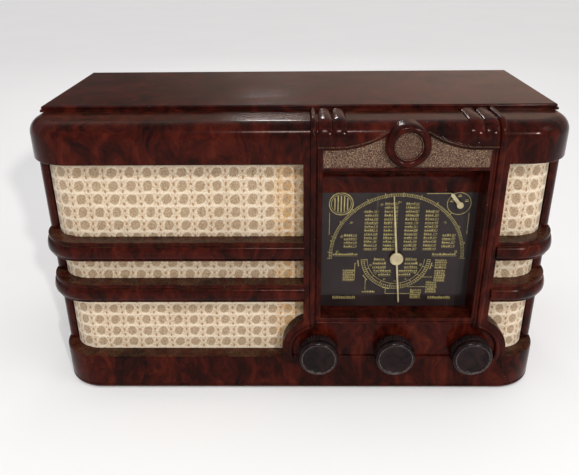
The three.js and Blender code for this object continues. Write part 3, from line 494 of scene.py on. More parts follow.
def build(name, shell, body, material, smooth=32.0, uv=None):
    mesh = bpy.data.meshes.new(name)
    mesh.from_pydata([tuple(p) for p in to_row(shell.points)], [], shell.faces)
    for mark, values in shell.marks.items():
        values = list(values) + [0.0] * (len(shell.points) - len(values))
        mesh.attributes.new(mark, "FLOAT", "POINT").data.foreach_set("value", values)
    if uv is not None:
        layer = mesh.uv_layers.new(name="weave")
        corners = np.empty(len(mesh.loops), np.int32)
        mesh.loops.foreach_get("vertex_index", corners)
        layer.data.foreach_set("uv", np.asarray(uv, np.float32)[corners].ravel())
    work = bmesh.new()
    work.from_mesh(mesh)
    bmesh.ops.recalc_face_normals(work, faces=work.faces)
    work.to_mesh(mesh)
    work.free()
    mesh.polygons.foreach_set("use_smooth", [True] * len(mesh.polygons))
    mesh.set_sharp_from_angle(angle=math.radians(smooth))
    mesh.materials.append(material)
    piece = bpy.data.objects.new(name, mesh)
    bpy.context.collection.objects.link(piece)
    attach(piece, body)
    return piece


def grid_faces(rows, columns, wrap_rows=False, wrap_columns=False):
    faces = []
    for r in range(rows if wrap_rows else rows - 1):
        for c in range(columns if wrap_columns else columns - 1):
            r2, c2 = (r + 1) % rows, (c + 1) % columns
            faces.append((r * columns + c, r * columns + c2, r2 * columns + c2, r2 * columns + c))
    return faces


def tube_faces(rows, count):
    """The skin of a closed section carried through rows places, with both ends closed."""
    last = (rows - 1) * count
    return [*grid_faces(rows, count, wrap_columns=True), tuple(range(count)),
            tuple(last + k for k in reversed(range(count)))]


def swept(shell, path, section, **marks):
    """A closed section of (outward, height) carried along a plan path of (x, y, normal x, normal y).
    section(i) gives the section at path point i."""
    points = []
    for i, (x, y, nx, ny) in enumerate(path):
        points.extend((x + nx * out, y + ny * out, z) for out, z in section(i))
    shell.add(points, tube_faces(len(path), len(section(0))), **marks)


def offset_loop(loop, inset):
    """The loop moved inwards; inset has one distance for each side, side k running from point k.
    Loops run anticlockwise; a hole runs clockwise."""
    count = len(loop)
    moved = []
    for k in range(count):
        a, b, c = (np.array(loop[(k + step) % count], float) for step in (-1, 0, 1))
        u, v = (b - a) / np.linalg.norm(b - a), (c - b) / np.linalg.norm(c - b)
        n1, n2 = np.array((-u[1], u[0])), np.array((-v[1], v[0]))
        d1, d2 = inset[k - 1], inset[k]
        cross = n1[0] * n2[1] - n1[1] * n2[0]
        if abs(cross) < 0.05:
            moved.append(b + (n1 + n2) * 0.25 * (d1 + d2))
        else:
            moved.append(b + np.linalg.solve(np.array((n1, n2)), np.array((d1, d2))))
    return moved


def plate(shell, loops, levels, to_space, insets=None, **marks):
    """A flat plate with holes. levels is a list of (inset, height) from one face to the other, and
    to_space turns (a, b, height) into case coordinates."""
    insets = insets or [[1.0] * len(loop) for loop in loops]
    rows = [[offset_loop(loop, [inset * k for k in keep]) for loop, keep in zip(loops, insets)]
            for inset, _ in levels]
    total = sum(len(loop) for loop in loops)
    points = [to_space(a, b, height) for row, (_, height) in zip(rows, levels) for loop in row
              for a, b in loop]
    faces = []
    start = 0
    for loop in loops:
        count = len(loop)
        for level in range(len(levels) - 1):
            for k in range(count):
                i, j = start + k, start + (k + 1) % count
                faces.append((level * total + i, level * total + j, (level + 1) * total + j,
                              (level + 1) * total + i))
        start += count
    for level in (0, len(levels) - 1):
        flat = [[Vector((a, b, 0)) for a, b in loop] for loop in rows[level]]
        faces.extend(tuple(level * total + i for i in triangle)
                     for triangle in geometry.tessellate_polygon(flat))
    shell.add(points, faces, **marks)


def arc(x, z, radius, start, stop, steps):
    return [(x + radius * math.cos(math.radians(a)), z + radius * math.sin(math.radians(a)))
            for a in np.linspace(start, stop, steps + 1)]


def prism(shell, outline, low, high, to_space, **marks):
    plate(shell, [outline], [(0, low), (0, high)], to_space, **marks)


def along_x(a, b, height):
    return (height, a, b)


def along_y(a, b, height):
    return (a, height, b)


def along_z(a, b, height):
    return (a, b, height)


def lathe_y(shell, profile, x, z, sides=96, ripple=None, **marks):
    """A turned skin about a Y axis, from (radius, y) pairs; a radius of 0 closes an end."""
    points, rings, values = [], [], {name: [] for name in marks}
    for k, (radius, y) in enumerate(profile):
        ring = []
        for step in range(1 if radius == 0 else sides):
            angle = 2 * math.pi * step / sides
            grown, shift = ripple(k, radius, angle) if ripple else (radius, 0.0)
            ring.append(len(points))
            points.append((x + grown * math.cos(angle), y + shift, z + grown * math.sin(angle)))
            for name in marks:
                values[name].append(marks[name](k, radius))
        rings.append(ring)
    faces = []
    for first, second in zip(rings, rings[1:]):
        for step in range(sides):
            after = (step + 1) % sides
            quad = [first[step % len(first)], first[after % len(first)], second[after % len(second)],
                    second[step % len(second)]]
            faces.append(tuple(dict.fromkeys(quad)))
    shell.add(points, faces, **values)


def rough_at(x, y, z, size):
    """Grain height from -1 to 1 at a point."""
    return noise.noise(Vector((x, y, z)) / size) + 0.5 * noise.noise(Vector((x, z, y)) * 2.1 / size)


# ---------------------------------------------------------------- case

HALF_WIDTH, DEPTH, CORNER_R, WALL = 247, 218, 42, 4
CORNER_X = HALF_WIDTH - CORNER_R
POST = 11
SHELF_Z, TOP_Z, BASE_Z = 280, 284.5, 38.5
RIBS = ((147.4, 166.9), (102.7, 121.8))
LEDGE = 18
BAY_X, BAY_LEFT, BAY_RIGHT = 96, 5, 186.5
REEDS = (13.8, 178.2)
REED_HIGH = 3.0
MEDALLION_Z = 261
LIP = 0.7
DIAL = dict(left=22, right=170, low=84.7, high=237, depth=23)
KNOBS = dict(x=(20, 96, 172), z=47)
SHOULDER_RING = 36.5
ROUND_OVER = 14


def left_plan(rear, end_x):
    turn = [(-CORNER_X + CORNER_R * math.cos(a), CORNER_R * (1 + math.sin(a)), math.cos(a), math.sin(a))
            for a in np.linspace(math.pi, 1.5 * math.pi, 25)]
    return [(-HALF_WIDTH, rear, -1, 0), *turn, (end_x, 0, 0, -1)]


def right_plan(start_x, rear):
    return [(-x, y, -nx, ny) for x, y, nx, ny in reversed(left_plan(rear, -start_x))]


FULL_PLAN = left_plan(DEPTH, 0)[:-1] + right_plan(0, DEPTH)[1:]


def cornice_section(_):
    face = [(0.0, 244.2), (0.0, 266.0)]
    low = [(-1.2 + 1.2 * math.sin(a), 244.2 - 1.2 * math.cos(a))
           for a in np.linspace(0, 0.5 * math.pi, 5)[:-1]]
    over = [(-ROUND_OVER + ROUND_OVER * math.cos(a), 266 + ROUND_OVER * math.sin(a))
            for a in np.linspace(0, 0.5 * math.pi, 15)[1:]]
    inside = [(-41, 280), (-41, 276), (-14, 276), (-7, 272.5), (-WALL, 266), (-WALL, 247), (-LEDGE, 247)]
    return [(-LEDGE, 243), *low, *face, *over, *inside]


def rib_section(low, high, bead):
    middle, half = (low + high) / 2 - 0.6, (high - low) / 2 - 3.1
    swell = [(3.0 * bead * math.sqrt(max(0.0, 1 - t * t)), middle + t * half)
             for t in np.sin(np.linspace(-0.5 * math.pi, 0.5 * math.pi, 17))]
    return [
        (-LEDGE, low), (-0.9, low), (-0.3, low + 0.25), (0, low + 0.9), (0, low + 1.7), (-0.5, low + 2.1),
        *swell,
        (-0.5, high - 3.4), (0, high - 2.9), (0, high - 0.9), (-0.3, high - 0.25), (-0.9, high),
        (-1.9, high), (-2.2, high - 0.5), (-LEDGE, high - 0.5),
    ]


def rib_bead(x, y):
    """How far the bead has faded where a rib runs back along the side."""
    if abs(x) < CORNER_X:
        return 1.0
    turned = math.degrees(math.atan2(CORNER_R - y, abs(x) - CORNER_X)) if y < CORNER_R else 0.0
    t = min(1.0, max(0.0, turned / 40.0))
    return t * t * (3 - 2 * t)


def base_section(_):
    low = [(-3 + 3 * math.cos(a), 3 - 3 * math.sin(a)) for a in np.linspace(0, 0.5 * math.pi, 6)]
    return [
        (-LEDGE, 4), (-LEDGE, 0), *reversed(low), (0, 3.6), (-0.7, 4.0), (-0.7, 4.8), (0, 5.2),
        (0, 37.2), (-0.4, 38.1), (-1.2, BASE_Z), (-2.2, BASE_Z), (-2.5, 38.1), (-LEDGE, 38.1),
        (-LEDGE, 34.5), (-WALL, 34.5), (-WALL, 4),
    ]


def side_wall(shell, side):
    outer = HALF_WIDTH + 0.03
    inner = HALF_WIDTH - POST
    curve = [(-inner + (POST + 0.03) * math.cos(a), 45.6 + POST * math.sin(a))
             for a in np.linspace(math.pi, 1.5 * math.pi, 15)]
    outline = [(-outer, DEPTH), *curve, (-inner, 66), (WALL - HALF_WIDTH, 66), (WALL - HALF_WIDTH, DEPTH)]
    if side > 0:
        outline = [(-x, y) for x, y in reversed(outline)]
    prism(shell, outline, 30, 250, along_z)


def top_slab(shell):
    corner = 1.2
    outline = [(-240, DEPTH), (-240, 50 + corner), *arc(-240 + corner, 50 + corner, corner, 180, 270, 5)[1:],
               *arc(240 - corner, 50 + corner, corner, 270, 360, 5), (240, DEPTH)]
    keep = [1.0] * len(outline)
    keep[-1] = 0.0
    levels = [(-1.5, 279.4), (-1.5, 280.9), (-1.2, 281.2), (0.7, 281.3), (0.8, 281.9), (0.15, 282.2),
              (0, 282.6),
              (0, 283.1), (0.12, 283.7), (0.5, 284.2), (1.1, 284.45), (1.8, TOP_Z)]
    plate(shell, [outline], levels, along_z, [keep])


def shoulder_point(u):
    """(y, z, normal y, normal z) at arc length u up the bay's face, over the shoulder, along the shelf."""
    if u <= 29:
        return 0.0, DIAL["high"] + u, -1.0, 0.0
    over = ROUND_OVER * 0.5 * math.pi
    if u <= 29 + over:
        a = (u - 29) / ROUND_OVER
        return ROUND_OVER * (1 - math.cos(a)), 266 + ROUND_OVER * math.sin(a), -math.cos(a), math.sin(a)
    return ROUND_OVER + u - 29 - over, float(SHELF_Z), 0.0, 1.0


def smooth(value, low, high):
    t = min(1.0, max(0.0, (value - low) / (high - low)))
    return t * t * (3 - 2 * t)


FLUTES = ((23.95, 6.3), (36.6, 6.3), (155.3, 6.6), (168.6, 6.5))


def arch_at(x):
    """Arc length of the raised line over the dial at x."""
    away = abs(x - BAY_X)
    t = min(1.0, max(0.0, (62 - away) / 44))
    return 22 + 12.9 * t * t


def half_round(offset, half):
    """Height from 0 to 1 of a half-round of the given half width."""
    return math.sqrt(max(0.0, 1 - (offset / half) ** 2))


def bay_relief(x, u):
    """How far the bay stands out at (x, u), and how grained it is there. Along the crest of the arch line the
    second value is a painted highlight in the grained colour.
    """
    lift = max(REED_HIGH * half_round(x - centre, REED_HIGH) for centre in REEDS)
    line = arch_at(x)
    tall = (1.3 + 1.2 * smooth(u, 36, 62)) * smooth(u, line + 1.5, line + 13)
    for centre, half in FLUTES:
        lift = max(lift, tall * max(0.0, 1 - ((x - centre) / half) ** 2) ** 0.6)
    if u >= 50 or not REEDS[0] + REED_HIGH < x < REEDS[1] - REED_HIGH:
        return lift, 0.0
    lift = max(lift, 1.3 * half_round(u - line, 1.1))
    sides = smooth(x, 22.0, 22.8) * smooth(170.0 - x, 0, 0.8)
    grain = sides * smooth(u, 3.0, 3.7) * smooth(line - 2.6 - u, 0.0, 0.7)
    # Painted highlight: the crest of the raised arch line gets the lighter grained colour.
    arch_ridge_highlight = 0.4 * max(0.0, 1 - ((u - line) / 0.9) ** 2)
    return lift + grain * (-1.1 + 0.22 * rough_at(x, 0, u, 1.3)), max(grain, arch_ridge_highlight)


def bay_top(shell):
    """The bay above the dial: reeds, flutes, arch line and grained panel over the shoulder."""
    fine = np.arange(BAY_LEFT, BAY_RIGHT + 0.01, 0.78)
    swing = np.sin(np.linspace(-0.5 * math.pi, 0.5 * math.pi, 13))
    rounds = [centre + half * t for centre, half in (*((c, REED_HIGH) for c in REEDS), *FLUTES)
              for t in swing]
    panel_edges = [21.9, 22.3, 22.8, 169.2, 169.7, 170.1]
    xs = np.unique(np.round(np.concatenate((fine, rounds, panel_edges, [BAY_RIGHT])), 2))
    xs = xs[np.concatenate(([True], np.diff(xs) > 0.08))]
    us = np.concatenate(([0, 0.2, 0.45, LIP], np.arange(1.4, 50, 0.62), np.arange(50.3, 86, 1.6), [86.5]))
    points, sand, dust = [], [], []
    for u in us:
        y, z, ny, nz = shoulder_point(u)
        for x in xs:
            lift, grain = bay_relief(x, u)
            over_dial = DIAL["left"] - 0.05 < x < DIAL["right"] + 0.05
            lip = LIP - u if u < LIP and over_dial else 0.0
            setback = LIP - math.sqrt(max(0.0, LIP ** 2 - lip * lip)) if lip else 0.0
            points.append((x, y + ny * lift + setback, z + nz * lift))
            # Grain of the panel, and along the crest of the arch line a painted highlight in the grained
            # colour.
            sand.append(grain)
            dust.append(0.35 if u > 60 else 0.0)
    rows, columns = len(us), len(xs)
    faces = grid_faces(rows, columns)
    back = len(points)
    for u in us:
        y, z, ny, nz = shoulder_point(u)
        for x in (xs[0], xs[-1]):
            points.append((x, y - ny * WALL, max(z - nz * WALL, DIAL["high"])))
            sand.append(0.0)
            dust.append(0.0)
    for r in range(rows - 1):
        a, b = back + 2 * r, back + 2 * (r + 1)
        faces.append((a, a + 1, b + 1, b))
        faces.append((r * columns, (r + 1) * columns, b, a))
        faces.append((r * columns + columns - 1, a + 1, b + 1, (r + 1) * columns + columns - 1))
    faces.append((*range(columns), back + 1, back))
    faces.append((*range((rows - 1) * columns, rows * columns), back + 2 * rows - 1, back + 2 * rows - 2))
    shell.add(points, faces, sand=sand, dust=dust)


def bay_plate(shell):
    """The upright face round the dial and behind the knobs, with rounded edges."""
    left, _, right = KNOBS["x"]
    z = KNOBS["z"]
    low = math.degrees(math.asin((z - BASE_Z) / SHOULDER_RING))
    left_top = math.degrees(math.acos((left - BAY_LEFT) / SHOULDER_RING))
    right_top = math.degrees(math.acos((BAY_RIGHT - right) / SHOULDER_RING))
    outline = [
        *arc(right, z, SHOULDER_RING, -low, right_top, 24),
        (BAY_RIGHT, DIAL["high"]), (DIAL["right"], DIAL["high"]), (DIAL["right"], DIAL["low"]),
        (DIAL["left"], DIAL["low"]), (DIAL["left"], DIAL["high"]), (BAY_LEFT, DIAL["high"]),
        *arc(left, z, SHOULDER_RING, 180 - left_top, 180 + low, 24),
    ]
    keep = [1.0] * len(outline)
    for k, (point, after) in enumerate(zip(outline, outline[1:] + outline[:1])):
        if point[1] > 236 and after[1] > 236:
            keep[k] = 0.0
    keep[-1] = 0.0
    ring = 25.5
    end = math.degrees(math.asin((z - 39.5) / ring))
    hole = [(right, 79), (left, 79), *arc(left, z, ring, 90, 180 + end, 20),
            *arc(right, z, ring, -end, 90, 20)]
    hole = list(reversed(hole))
    edge = [(0.8 * (1 - math.sin(a)), 0.8 * (1 - math.cos(a)) - 0.02)
            for a in np.linspace(0, 0.5 * math.pi, 5)]
    plate(shell, [outline, hole], [*edge, (0, 16.2)], along_y, [keep, [1.0] * len(hole)])
    behind = [(right, 80.5), (left, 80.5), *arc(left, z, ring + 2, 90, 205, 20),
              *arc(right, z, ring + 2, -25, 90, 20)]
    prism(shell, behind, 2.0, 6.0, along_y)


def dial_well(shell):
    deep = DIAL["depth"]
    for side in (-1, 1):
        edge = BAY_X + side * (DIAL["right"] - BAY_X)
        wall = [(edge + side * 3, 0.8), (edge, 0.8), (edge - side * 1.0, deep), (edge + side * 3, deep)]
        if side < 0:
            wall.reverse()
        prism(shell, wall, 82, DIAL["high"] + 1, along_z)
    sill = [(0.8, 81.5), (deep, 81.5), (deep, 84.95), (0.8, 84.78)]
    prism(shell, sill, 19.5, 172.5, along_x, dust=0.12)
    cove = [(deep * math.sin(a), 208 + 29 * math.cos(a)) for a in np.linspace(0.031, 0.5 * math.pi, 25)]
    prism(shell, [*cove, (deep + 1.5, 208), (deep + 1.5, 239), (0.9, 239)], 19.5, 172.5, along_x)


def moulding(shell, path, widths, heights):
    """A half-round moulding that lies on the front plane along a path of (x, z)."""
    path = np.array(path, float)
    run = np.gradient(path, axis=0)
    run /= np.linalg.norm(run, axis=1)[:, None]
    angles = np.linspace(0, math.pi, 13)
    points = []
    for (x, z), (dx, dz), width, height in zip(path, run, widths, heights):
        for a in angles:
            off = width * math.cos(a)
            points.append((x - dz * off, -height * math.sin(a), z + dx * off))
        points.append((x + dz * width, 1.0, z - dx * width))
        points.append((x - dz * width, 1.0, z + dx * width))
    shell.add(points, tube_faces(len(path), len(angles) + 2))


def reed_and_ring(shell, side):
    """One reed down the face, carried on round its outer knob to the base."""
    reed_x = BAY_X + side * 82.2
    knob_x = BAY_X + side * 76
    radius = 28.2
    straight = [(reed_x, z) for z in np.linspace(DIAL["high"], 80, 12)]
    start = 90 - side * 11.0
    stop = -20 if side > 0 else 200
    ring = arc(knob_x, KNOBS["z"], radius, start, stop, 40)
    path = straight + ring
    blend = [smooth(z, 76, 88) if k < 12 else 0.0 for k, (_, z) in enumerate(path)]
    moulding(shell, path, [2.3 + 0.7 * b for b in blend], [2.1 + 0.9 * b for b in blend])


def dial_frame(shell):
    """A thin raised line from the arch down beside the dial, under it and up again."""
    left, right, low, high = 18.2, 173.8, 79.6, 259
    turn = 1.6
    path = [(left, z) for z in np.linspace(high, low + turn, 30)]
    path += arc(left + turn, low + turn, turn, 180, 270, 6)[1:]
    path += [(x, low) for x in np.linspace(left + turn, right - turn, 30)[1:]]
    path += arc(right - turn, low + turn, turn, 270, 360, 6)[1:]
    path += [(right, z) for z in np.linspace(low + turn, high, 30)[1:]]
    moulding(shell, path, [1.15] * len(path), [1.15] * len(path))


def medallion(shell):
    """The blank ring over the dial, with a grained disc inside a thin bead; disc and bead both get the
    lighter grained colour.
    """
    disc, disc_y = 10.8, -4.8
    rim = [(20, 12), (20, -1), (19.8, -3.2), (19.2, -5.2), (18.3, -6.8), (17.2, -7.75), (16, -8.1),
           (15, -8.05),
           (14.1, -7.6), (13.3, -6.8), (12.8, -6.1), (12.5, -6.2), (12.1, -6.2), (11.8, -5.9), (11.6, -5.2),
           (11.2, -4.9)]
    inside = [(radius, disc_y) for radius in np.arange(disc, 0.2, -0.55)]

    def ripple(_, radius, angle):
        if 0 < radius < disc + 0.1:
            return radius, 0.22 * rough_at(radius * math.cos(angle), 7, radius * math.sin(angle), 1.2)
        return radius, 0.0

    def sand(_, radius):
        return 0.7 if radius < 11.3 or 11.9 < radius < 12.7 else 0.0

    lathe_y(shell, [(0, 12), *rim, *inside, (0, disc_y)], BAY_X, MEDALLION_Z, 112, ripple, sand=sand)


def case_moulding():
    shell = Shell()
    left = left_plan(DEPTH, BAY_LEFT)
    right = right_plan(BAY_RIGHT, DEPTH)
    for path in (left, right):
        swept(shell, path, cornice_section, dust=0.35)
    for low, high in RIBS:
        for path in (left_plan(62, BAY_LEFT + 1), right_plan(BAY_RIGHT - 1, 62)):
            swept(shell, path, lambda i: rib_section(low, high, rib_bead(*path[i][:2])), dust=1.0)
    swept(shell, FULL_PLAN, base_section, dust=1.0)
    prism(shell, [(-229.5, 17.5), (229.5, 17.5), (229.5, DEPTH), (-229.5, DEPTH)], 0.05, 4.05, along_z)
    lid = HALF_WIDTH - 41
    prism(shell, [(-lid, 41), (BAY_LEFT, 41), (BAY_LEFT, 49), (BAY_RIGHT, 49), (BAY_RIGHT, 41), (lid, 41),
                  (lid, DEPTH), (-lid, DEPTH)], 276, SHELF_Z, along_z, dust=0.35)
    side_wall(shell, -1)
    side_wall(shell, 1)
    top_slab(shell)
    bay_top(shell)
    bay_plate(shell)
    dial_well(shell)
    reed_and_ring(shell, -1)
    reed_and_ring(shell, 1)
    dial_frame(shell)
    medallion(shell)
    piece = build("case_moulding", shell, "case", MATERIALS["bakelite"], 34)
    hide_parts("cabinet")


# ---------------------------------------------------------------- grille cloths

CLOTH_Y, CLOTH_THICK, CLOTH_LOW, CLOTH_HIGH = 16.3, 1.0, 32.5, 249.0


def grille_cloth(side, edge_x):
    deep, wide = CORNER_R - CLOTH_Y, CORNER_R - CLOTH_Y + 5
    straight = CORNER_X - side * edge_x
    turn = np.linspace(0, 0.5 * math.pi, 200)
    run = np.hypot(np.diff(wide * np.sin(turn)), np.diff(deep * np.cos(turn)))
    bend = np.concatenate(([0], np.cumsum(run)))
    quarter = bend[-1]
    flank = 16.0
    total = straight + quarter + flank
    height = CLOTH_HIGH - CLOTH_LOW
    columns = int(total / 1.2)
    rows = int(height / 1.2)

    def spot(u):
        """(x, y, normal x, normal y) at u along the cloth from the bay."""
        if u < straight:
            return side * (side * edge_x + u), CLOTH_Y, 0.0, -1.0
        if u < straight + quarter:
            a = float(np.interp(u - straight, bend, turn))
            nx, ny = side * math.sin(a) / wide, -math.cos(a) / deep
            size = math.hypot(nx, ny)
            return side * (CORNER_X + wide * math.sin(a)), CORNER_R - deep * math.cos(a), nx / size, ny / size
        return side * (CORNER_X + wide), CORNER_R + u - straight - quarter, float(side), 0.0

    points, weave, stain = [], [], []
    for layer in (0, 1):
        for r in range(rows + 1):
            z = CLOTH_LOW + height * r / rows
            for c in range(columns + 1):
                u = total * c / columns
                x, y, nx, ny = spot(u)
                dx = ((u / CELL_PITCH[0]) % 1.0 - 0.5) * CELL_PITCH[0]
                dz = ((z / CELL_PITCH[1]) % 1.0 - 0.5) * CELL_PITCH[1]
                dish = 1 - smooth(math.hypot(dx + 0.15 * dz, 0.86 * dz), 3.6, 5.4)
                wave = 0.10 * noise.noise(Vector((u, z, 3.0 * side)) / 9.0)
                out = -0.28 * dish + wave - 0.12 - layer * (CLOTH_THICK - 0.35)
                points.append((x + nx * out, y + ny * out, z))
                weave.append((u * 0.001, z * 0.001))
                near_bay = smooth(44 - u, 0, 15) if side < 0 else 0.0
                near_top = smooth(z - 238.0, 0, 5) * smooth(60 - u, 0, 30) if side < 0 else 0.0
                edge = smooth(CLOTH_LOW + 4.0 - z, 0, 3) * smooth(80 - u, 0, 40)
                stain.append(min(1.0, near_bay * (0.55 + 0.45 * near_top) + near_top * 0.8 + 0.6 * edge))
    layer_size = (rows + 1) * (columns + 1)
    front = grid_faces(rows + 1, columns + 1)
    faces = front + [tuple(layer_size + i for i in reversed(face)) for face in front]
    width = columns + 1
    rim = ([c for c in range(width)] + [r * width + columns for r in range(1, rows + 1)]
           + [rows * width + c for c in range(columns - 1, -1, -1)] + [r * width
                                                                       for r in range(rows - 1, 0, -1)])
    for a, b in zip(rim, rim[1:] + rim[:1]):
        faces.append((a, layer_size + a, layer_size + b, b))
    shell = Shell()
    shell.add(points, faces, stain=stain)
    name = "left" if side < 0 else "right"
    piece = build("lace_cloth_" + name, shell, "case", MATERIALS["grille_cloth"], 180, weave)
    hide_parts("grille_cloth_" + name)


# ---------------------------------------------------------------- dial

HUB = (96, 140)
BAND_HUB = (152, 196.6)
ROUNDEL = (41, 196.6)
PRINT_Y = 23.28


def around(centre, radius, degrees):
    turn = math.radians(degrees)
    return centre[0] + radius * math.cos(turn), centre[1] + radius * math.sin(turn)


def bar(shell, x, z, length, thick, degrees=0.0):
    """One printed stroke, a thin raised tile."""
    c, s = math.cos(math.radians(degrees)), math.sin(math.radians(degrees))
    corners = [(a * length / 2, b * thick / 2) for a, b in ((-1, -1), (1, -1), (1, 1), (-1, 1))]
    flat = [(x + a * c - b * s, z + a * s + b * c) for a, b in corners]
    points = [(a, PRINT_Y - 0.05, b) for a, b in flat] + [(a, PRINT_Y, b) for a, b in flat]
    shell.add(points, [(0, 1, 2, 3), (7, 6, 5, 4), (0, 4, 5, 1), (1, 5, 6, 2), (2, 6, 7, 3), (3, 7, 4, 0)])


def printed_arc(shell, x, z, radius, thick, start, stop, steps):
    inner = arc(x, z, radius - thick / 2, start, stop, steps)
    outer = arc(x, z, radius + thick / 2, start, stop, steps)
    points = []
    for (ax, az), (bx, bz) in zip(inner, outer):
        points += [(ax, PRINT_Y - 0.05, az), (bx, PRINT_Y - 0.05, bz), (bx, PRINT_Y, bz), (ax, PRINT_Y, az)]
    shell.add(points, tube_faces(steps + 1, 4))


SEGMENTS = {"0": "abcdef", "1": "bc", "2": "abged", "3": "abgcd", "4": "fgbc", "5": "afgcd", "6": "afgedc",
            "7": "abc", "8": "abcdefg", "9": "abcdfg"}
STROKES = {"a": (0, 1, 0), "g": (0, 0, 0), "d": (0, -1, 0), "f": (-1, 0.5, 90), "e": (-1, -0.5, 90),
           "b": (1, 0.5, 90), "c": (1, -0.5, 90)}


def number(shell, text, x, z, tall, degrees=0.0):
    """Plain digits drawn with straight strokes, centred on (x, z)."""
    wide = tall * 0.55
    c, s = math.cos(math.radians(degrees)), math.sin(math.radians(degrees))
    for k, digit in enumerate(text):
        middle = (k - (len(text) - 1) / 2) * wide * 1.45
        for name in SEGMENTS[digit]:
            a, b, turn = STROKES[name]
            dx, dz = middle + a * wide / 2, b * tall / 2
            size = wide if turn == 0 else tall / 2
            bar(shell, x + dx * c - dz * s, z + dx * s + dz * c, size, tall * 0.15, turn + degrees)


def dashes(shell, rng, x, z, width, tall):
    """A row of short blocks where a printed name would be."""
    at = x - width / 2
    while at < x + width / 2 - 0.8:
        size = min(rng.uniform(0.9, 2.3), x + width / 2 - at)
        bar(shell, at + size / 2, z, size, tall)
        if rng.random() < 0.45:
            bar(shell, at + size / 2, z + tall * 0.95, size * 0.7, tall * 0.45)
        at += size + rng.uniform(0.35, 0.6)


def tuning_scale(shell):
    """The large scale over the hub: two arcs with divisions, numbers inside and marks outside."""
    centre = (HUB[0], HUB[1] + 1.2)
    for radius, thick in ((65.6, 0.42), (63.0, 0.28)):
        printed_arc(shell, *centre, radius, thick, -2.5, 182.5, 120)
    for k in range(125):
        angle = -2 + k * 1.484
        radius, reach, thick = (64.3, 3.0, 0.5) if k % 10 else (64.9, 5.0, 0.7)
        bar(shell, *around(centre, radius, angle), reach, thick, angle)
    for k, text in enumerate(("20", "22", "24", "26", "30", "34", "38", "42", "46", "50", "55")):
        angle = 6 + k * 16.8
        number(shell, text, *around(HUB, 58.2, angle), 1.9, angle - 90)
        outside = angle + 7
        if not (52 < outside < 66 or 128 < outside < 150):
            bar(shell, *around(HUB, 66.6, outside), 1.8, 0.6, outside)


def station_columns(shell, rng):
    """Six columns of stations, each row a name, a number and a rule."""
    width = 12.4
    for x, rows, low in ((50.5, 4, 152), (70, 11, 149.2), (88.5, 13, 149.2), (108.5, 13, 149.2),
                         (127.5, 11, 149.2),
                         (145.5, 4, 152)):
        for row in range(rows):
            z = low + row * 3.95
            dashes(shell, rng, x - 1.9, z, width - 4.0, 1.1)
            number(shell, str(rng.randint(200, 560)), x + 4.6, z + 0.2, 1.7)
            bar(shell, x, z - 1.3, width, 0.26)


def ruled_names(shell, rng, places, tall, drop, thick):
    """Names with a rule under each, at places of (x, z, width)."""
    for x, z, width in places:
        dashes(shell, rng, x, z, width, tall)
        bar(shell, x, z - drop, width, thick)


HEADINGS = ((46, 143.4, 24), (143, 143.2, 24), (80, 138, 11), (111, 138, 11), (46, 95, 23), (142, 94.8, 23))
INNER_NAMES = [(x, z, width) for left, right, z, width in (
    (80, 111.5, 133.4, 13), (80, 111.5, 129.2, 13.5), (83.5, 108.5, 125, 18), (85.5, 105.5, 120.8, 12),
) for x in (left, right)]
LOWER_CENTRE = (HUB[0], HUB[1] - 1)
# Each lead: its mark by the lower scale, its bent line, and its block of (x, z, width, rows).
LEADS = (
    ((59.2, 133.5), ((57, 133.5), (56, 133.5), (56, 115)), (49.8, 120.4, 11, 5)),
    ((66.5, 117.5), ((67, 117), (67, 104)), (70.5, 101.4, 13, 1)),
    ((87.5, 105.6), ((87.5, 105), (87.5, 99.2), (111.5, 99.2)), (118, 99.0, 11, 4)),
    ((106.5, 106.8), ((107, 107), (127, 107)), (133, 106.6, 11, 5)),
    ((123, 118.2), ((123, 118), (133, 118)), (140.5, 119.6, 11, 5)),
    ((131, 130.5), ((131.5, 130.5), (133.5, 130.5)), (140.6, 132.8, 11.5, 4)),
)


def lower_scale(shell):
    """The small scale under the hub: three arcs, with divisions between and numbers inside."""
    for radius in (34.0, 31.0, 28.2):
        printed_arc(shell, *LOWER_CENTRE, radius, 0.4, 182, 358, 72)
    for k in range(45):
        angle = 183 + k * 3.96
        radius, reach = (32.5, 2.6) if k % 5 else (31.1, 5.4)
        bar(shell, *around(LOWER_CENTRE, radius, angle), reach, 0.5, angle)
    for k, text in enumerate(("10", "11", "12", "14", "16", "18", "20")):
        angle = 196 + k * 24.6
        number(shell, text, *around(LOWER_CENTRE, 25.6, angle), 1.8, angle + 90)


def lead(shell, rng, mark, line, block):
    outwards = math.atan2(mark[1] - LOWER_CENTRE[1], mark[0] - LOWER_CENTRE[0])
    bar(shell, *mark, 0.9, 7.0, math.degrees(outwards))
    for (ax, az), (cx, cz) in zip(line, line[1:]):
        slope = math.degrees(math.atan2(cz - az, cx - ax))
        bar(shell, (ax + cx) / 2, (az + cz) / 2, math.hypot(cx - ax, cz - az) + 0.3, 0.5, slope)
    x, middle, width, rows = block
    heights = [middle + (row - (rows - 1) / 2) * 2.65 for row in range(rows)]
    ruled_names(shell, rng, [(x, z, width) for z in heights], 1.0, 1.3, 0.28)


def roundel(shell):
    """A plain badge of upright bars in a double ring."""
    for radius, thick in ((11.2, 0.9), (9.4, 0.45)):
        printed_arc(shell, *ROUNDEL, radius, thick, 0, 360, 48)
    for offset in (-6.0, -3.0, 0.0, 3.0, 6.0):
        bar(shell, ROUNDEL[0] + offset, ROUNDEL[1], 1.15, 2 * math.sqrt(8.4 ** 2 - offset ** 2))


def band_dial(shell):
    """The small round dial of the band pointer, with three marks."""
    printed_arc(shell, *BAND_HUB, 11.1, 0.55, 0, 360, 48)
    for angle in (18, 90, 162):
        x, z = around(BAND_HUB, 7.4, angle)
        bar(shell, x, z, 3.4, 1.3)
        bar(shell, x, z + 1.5, 2.6, 0.6)


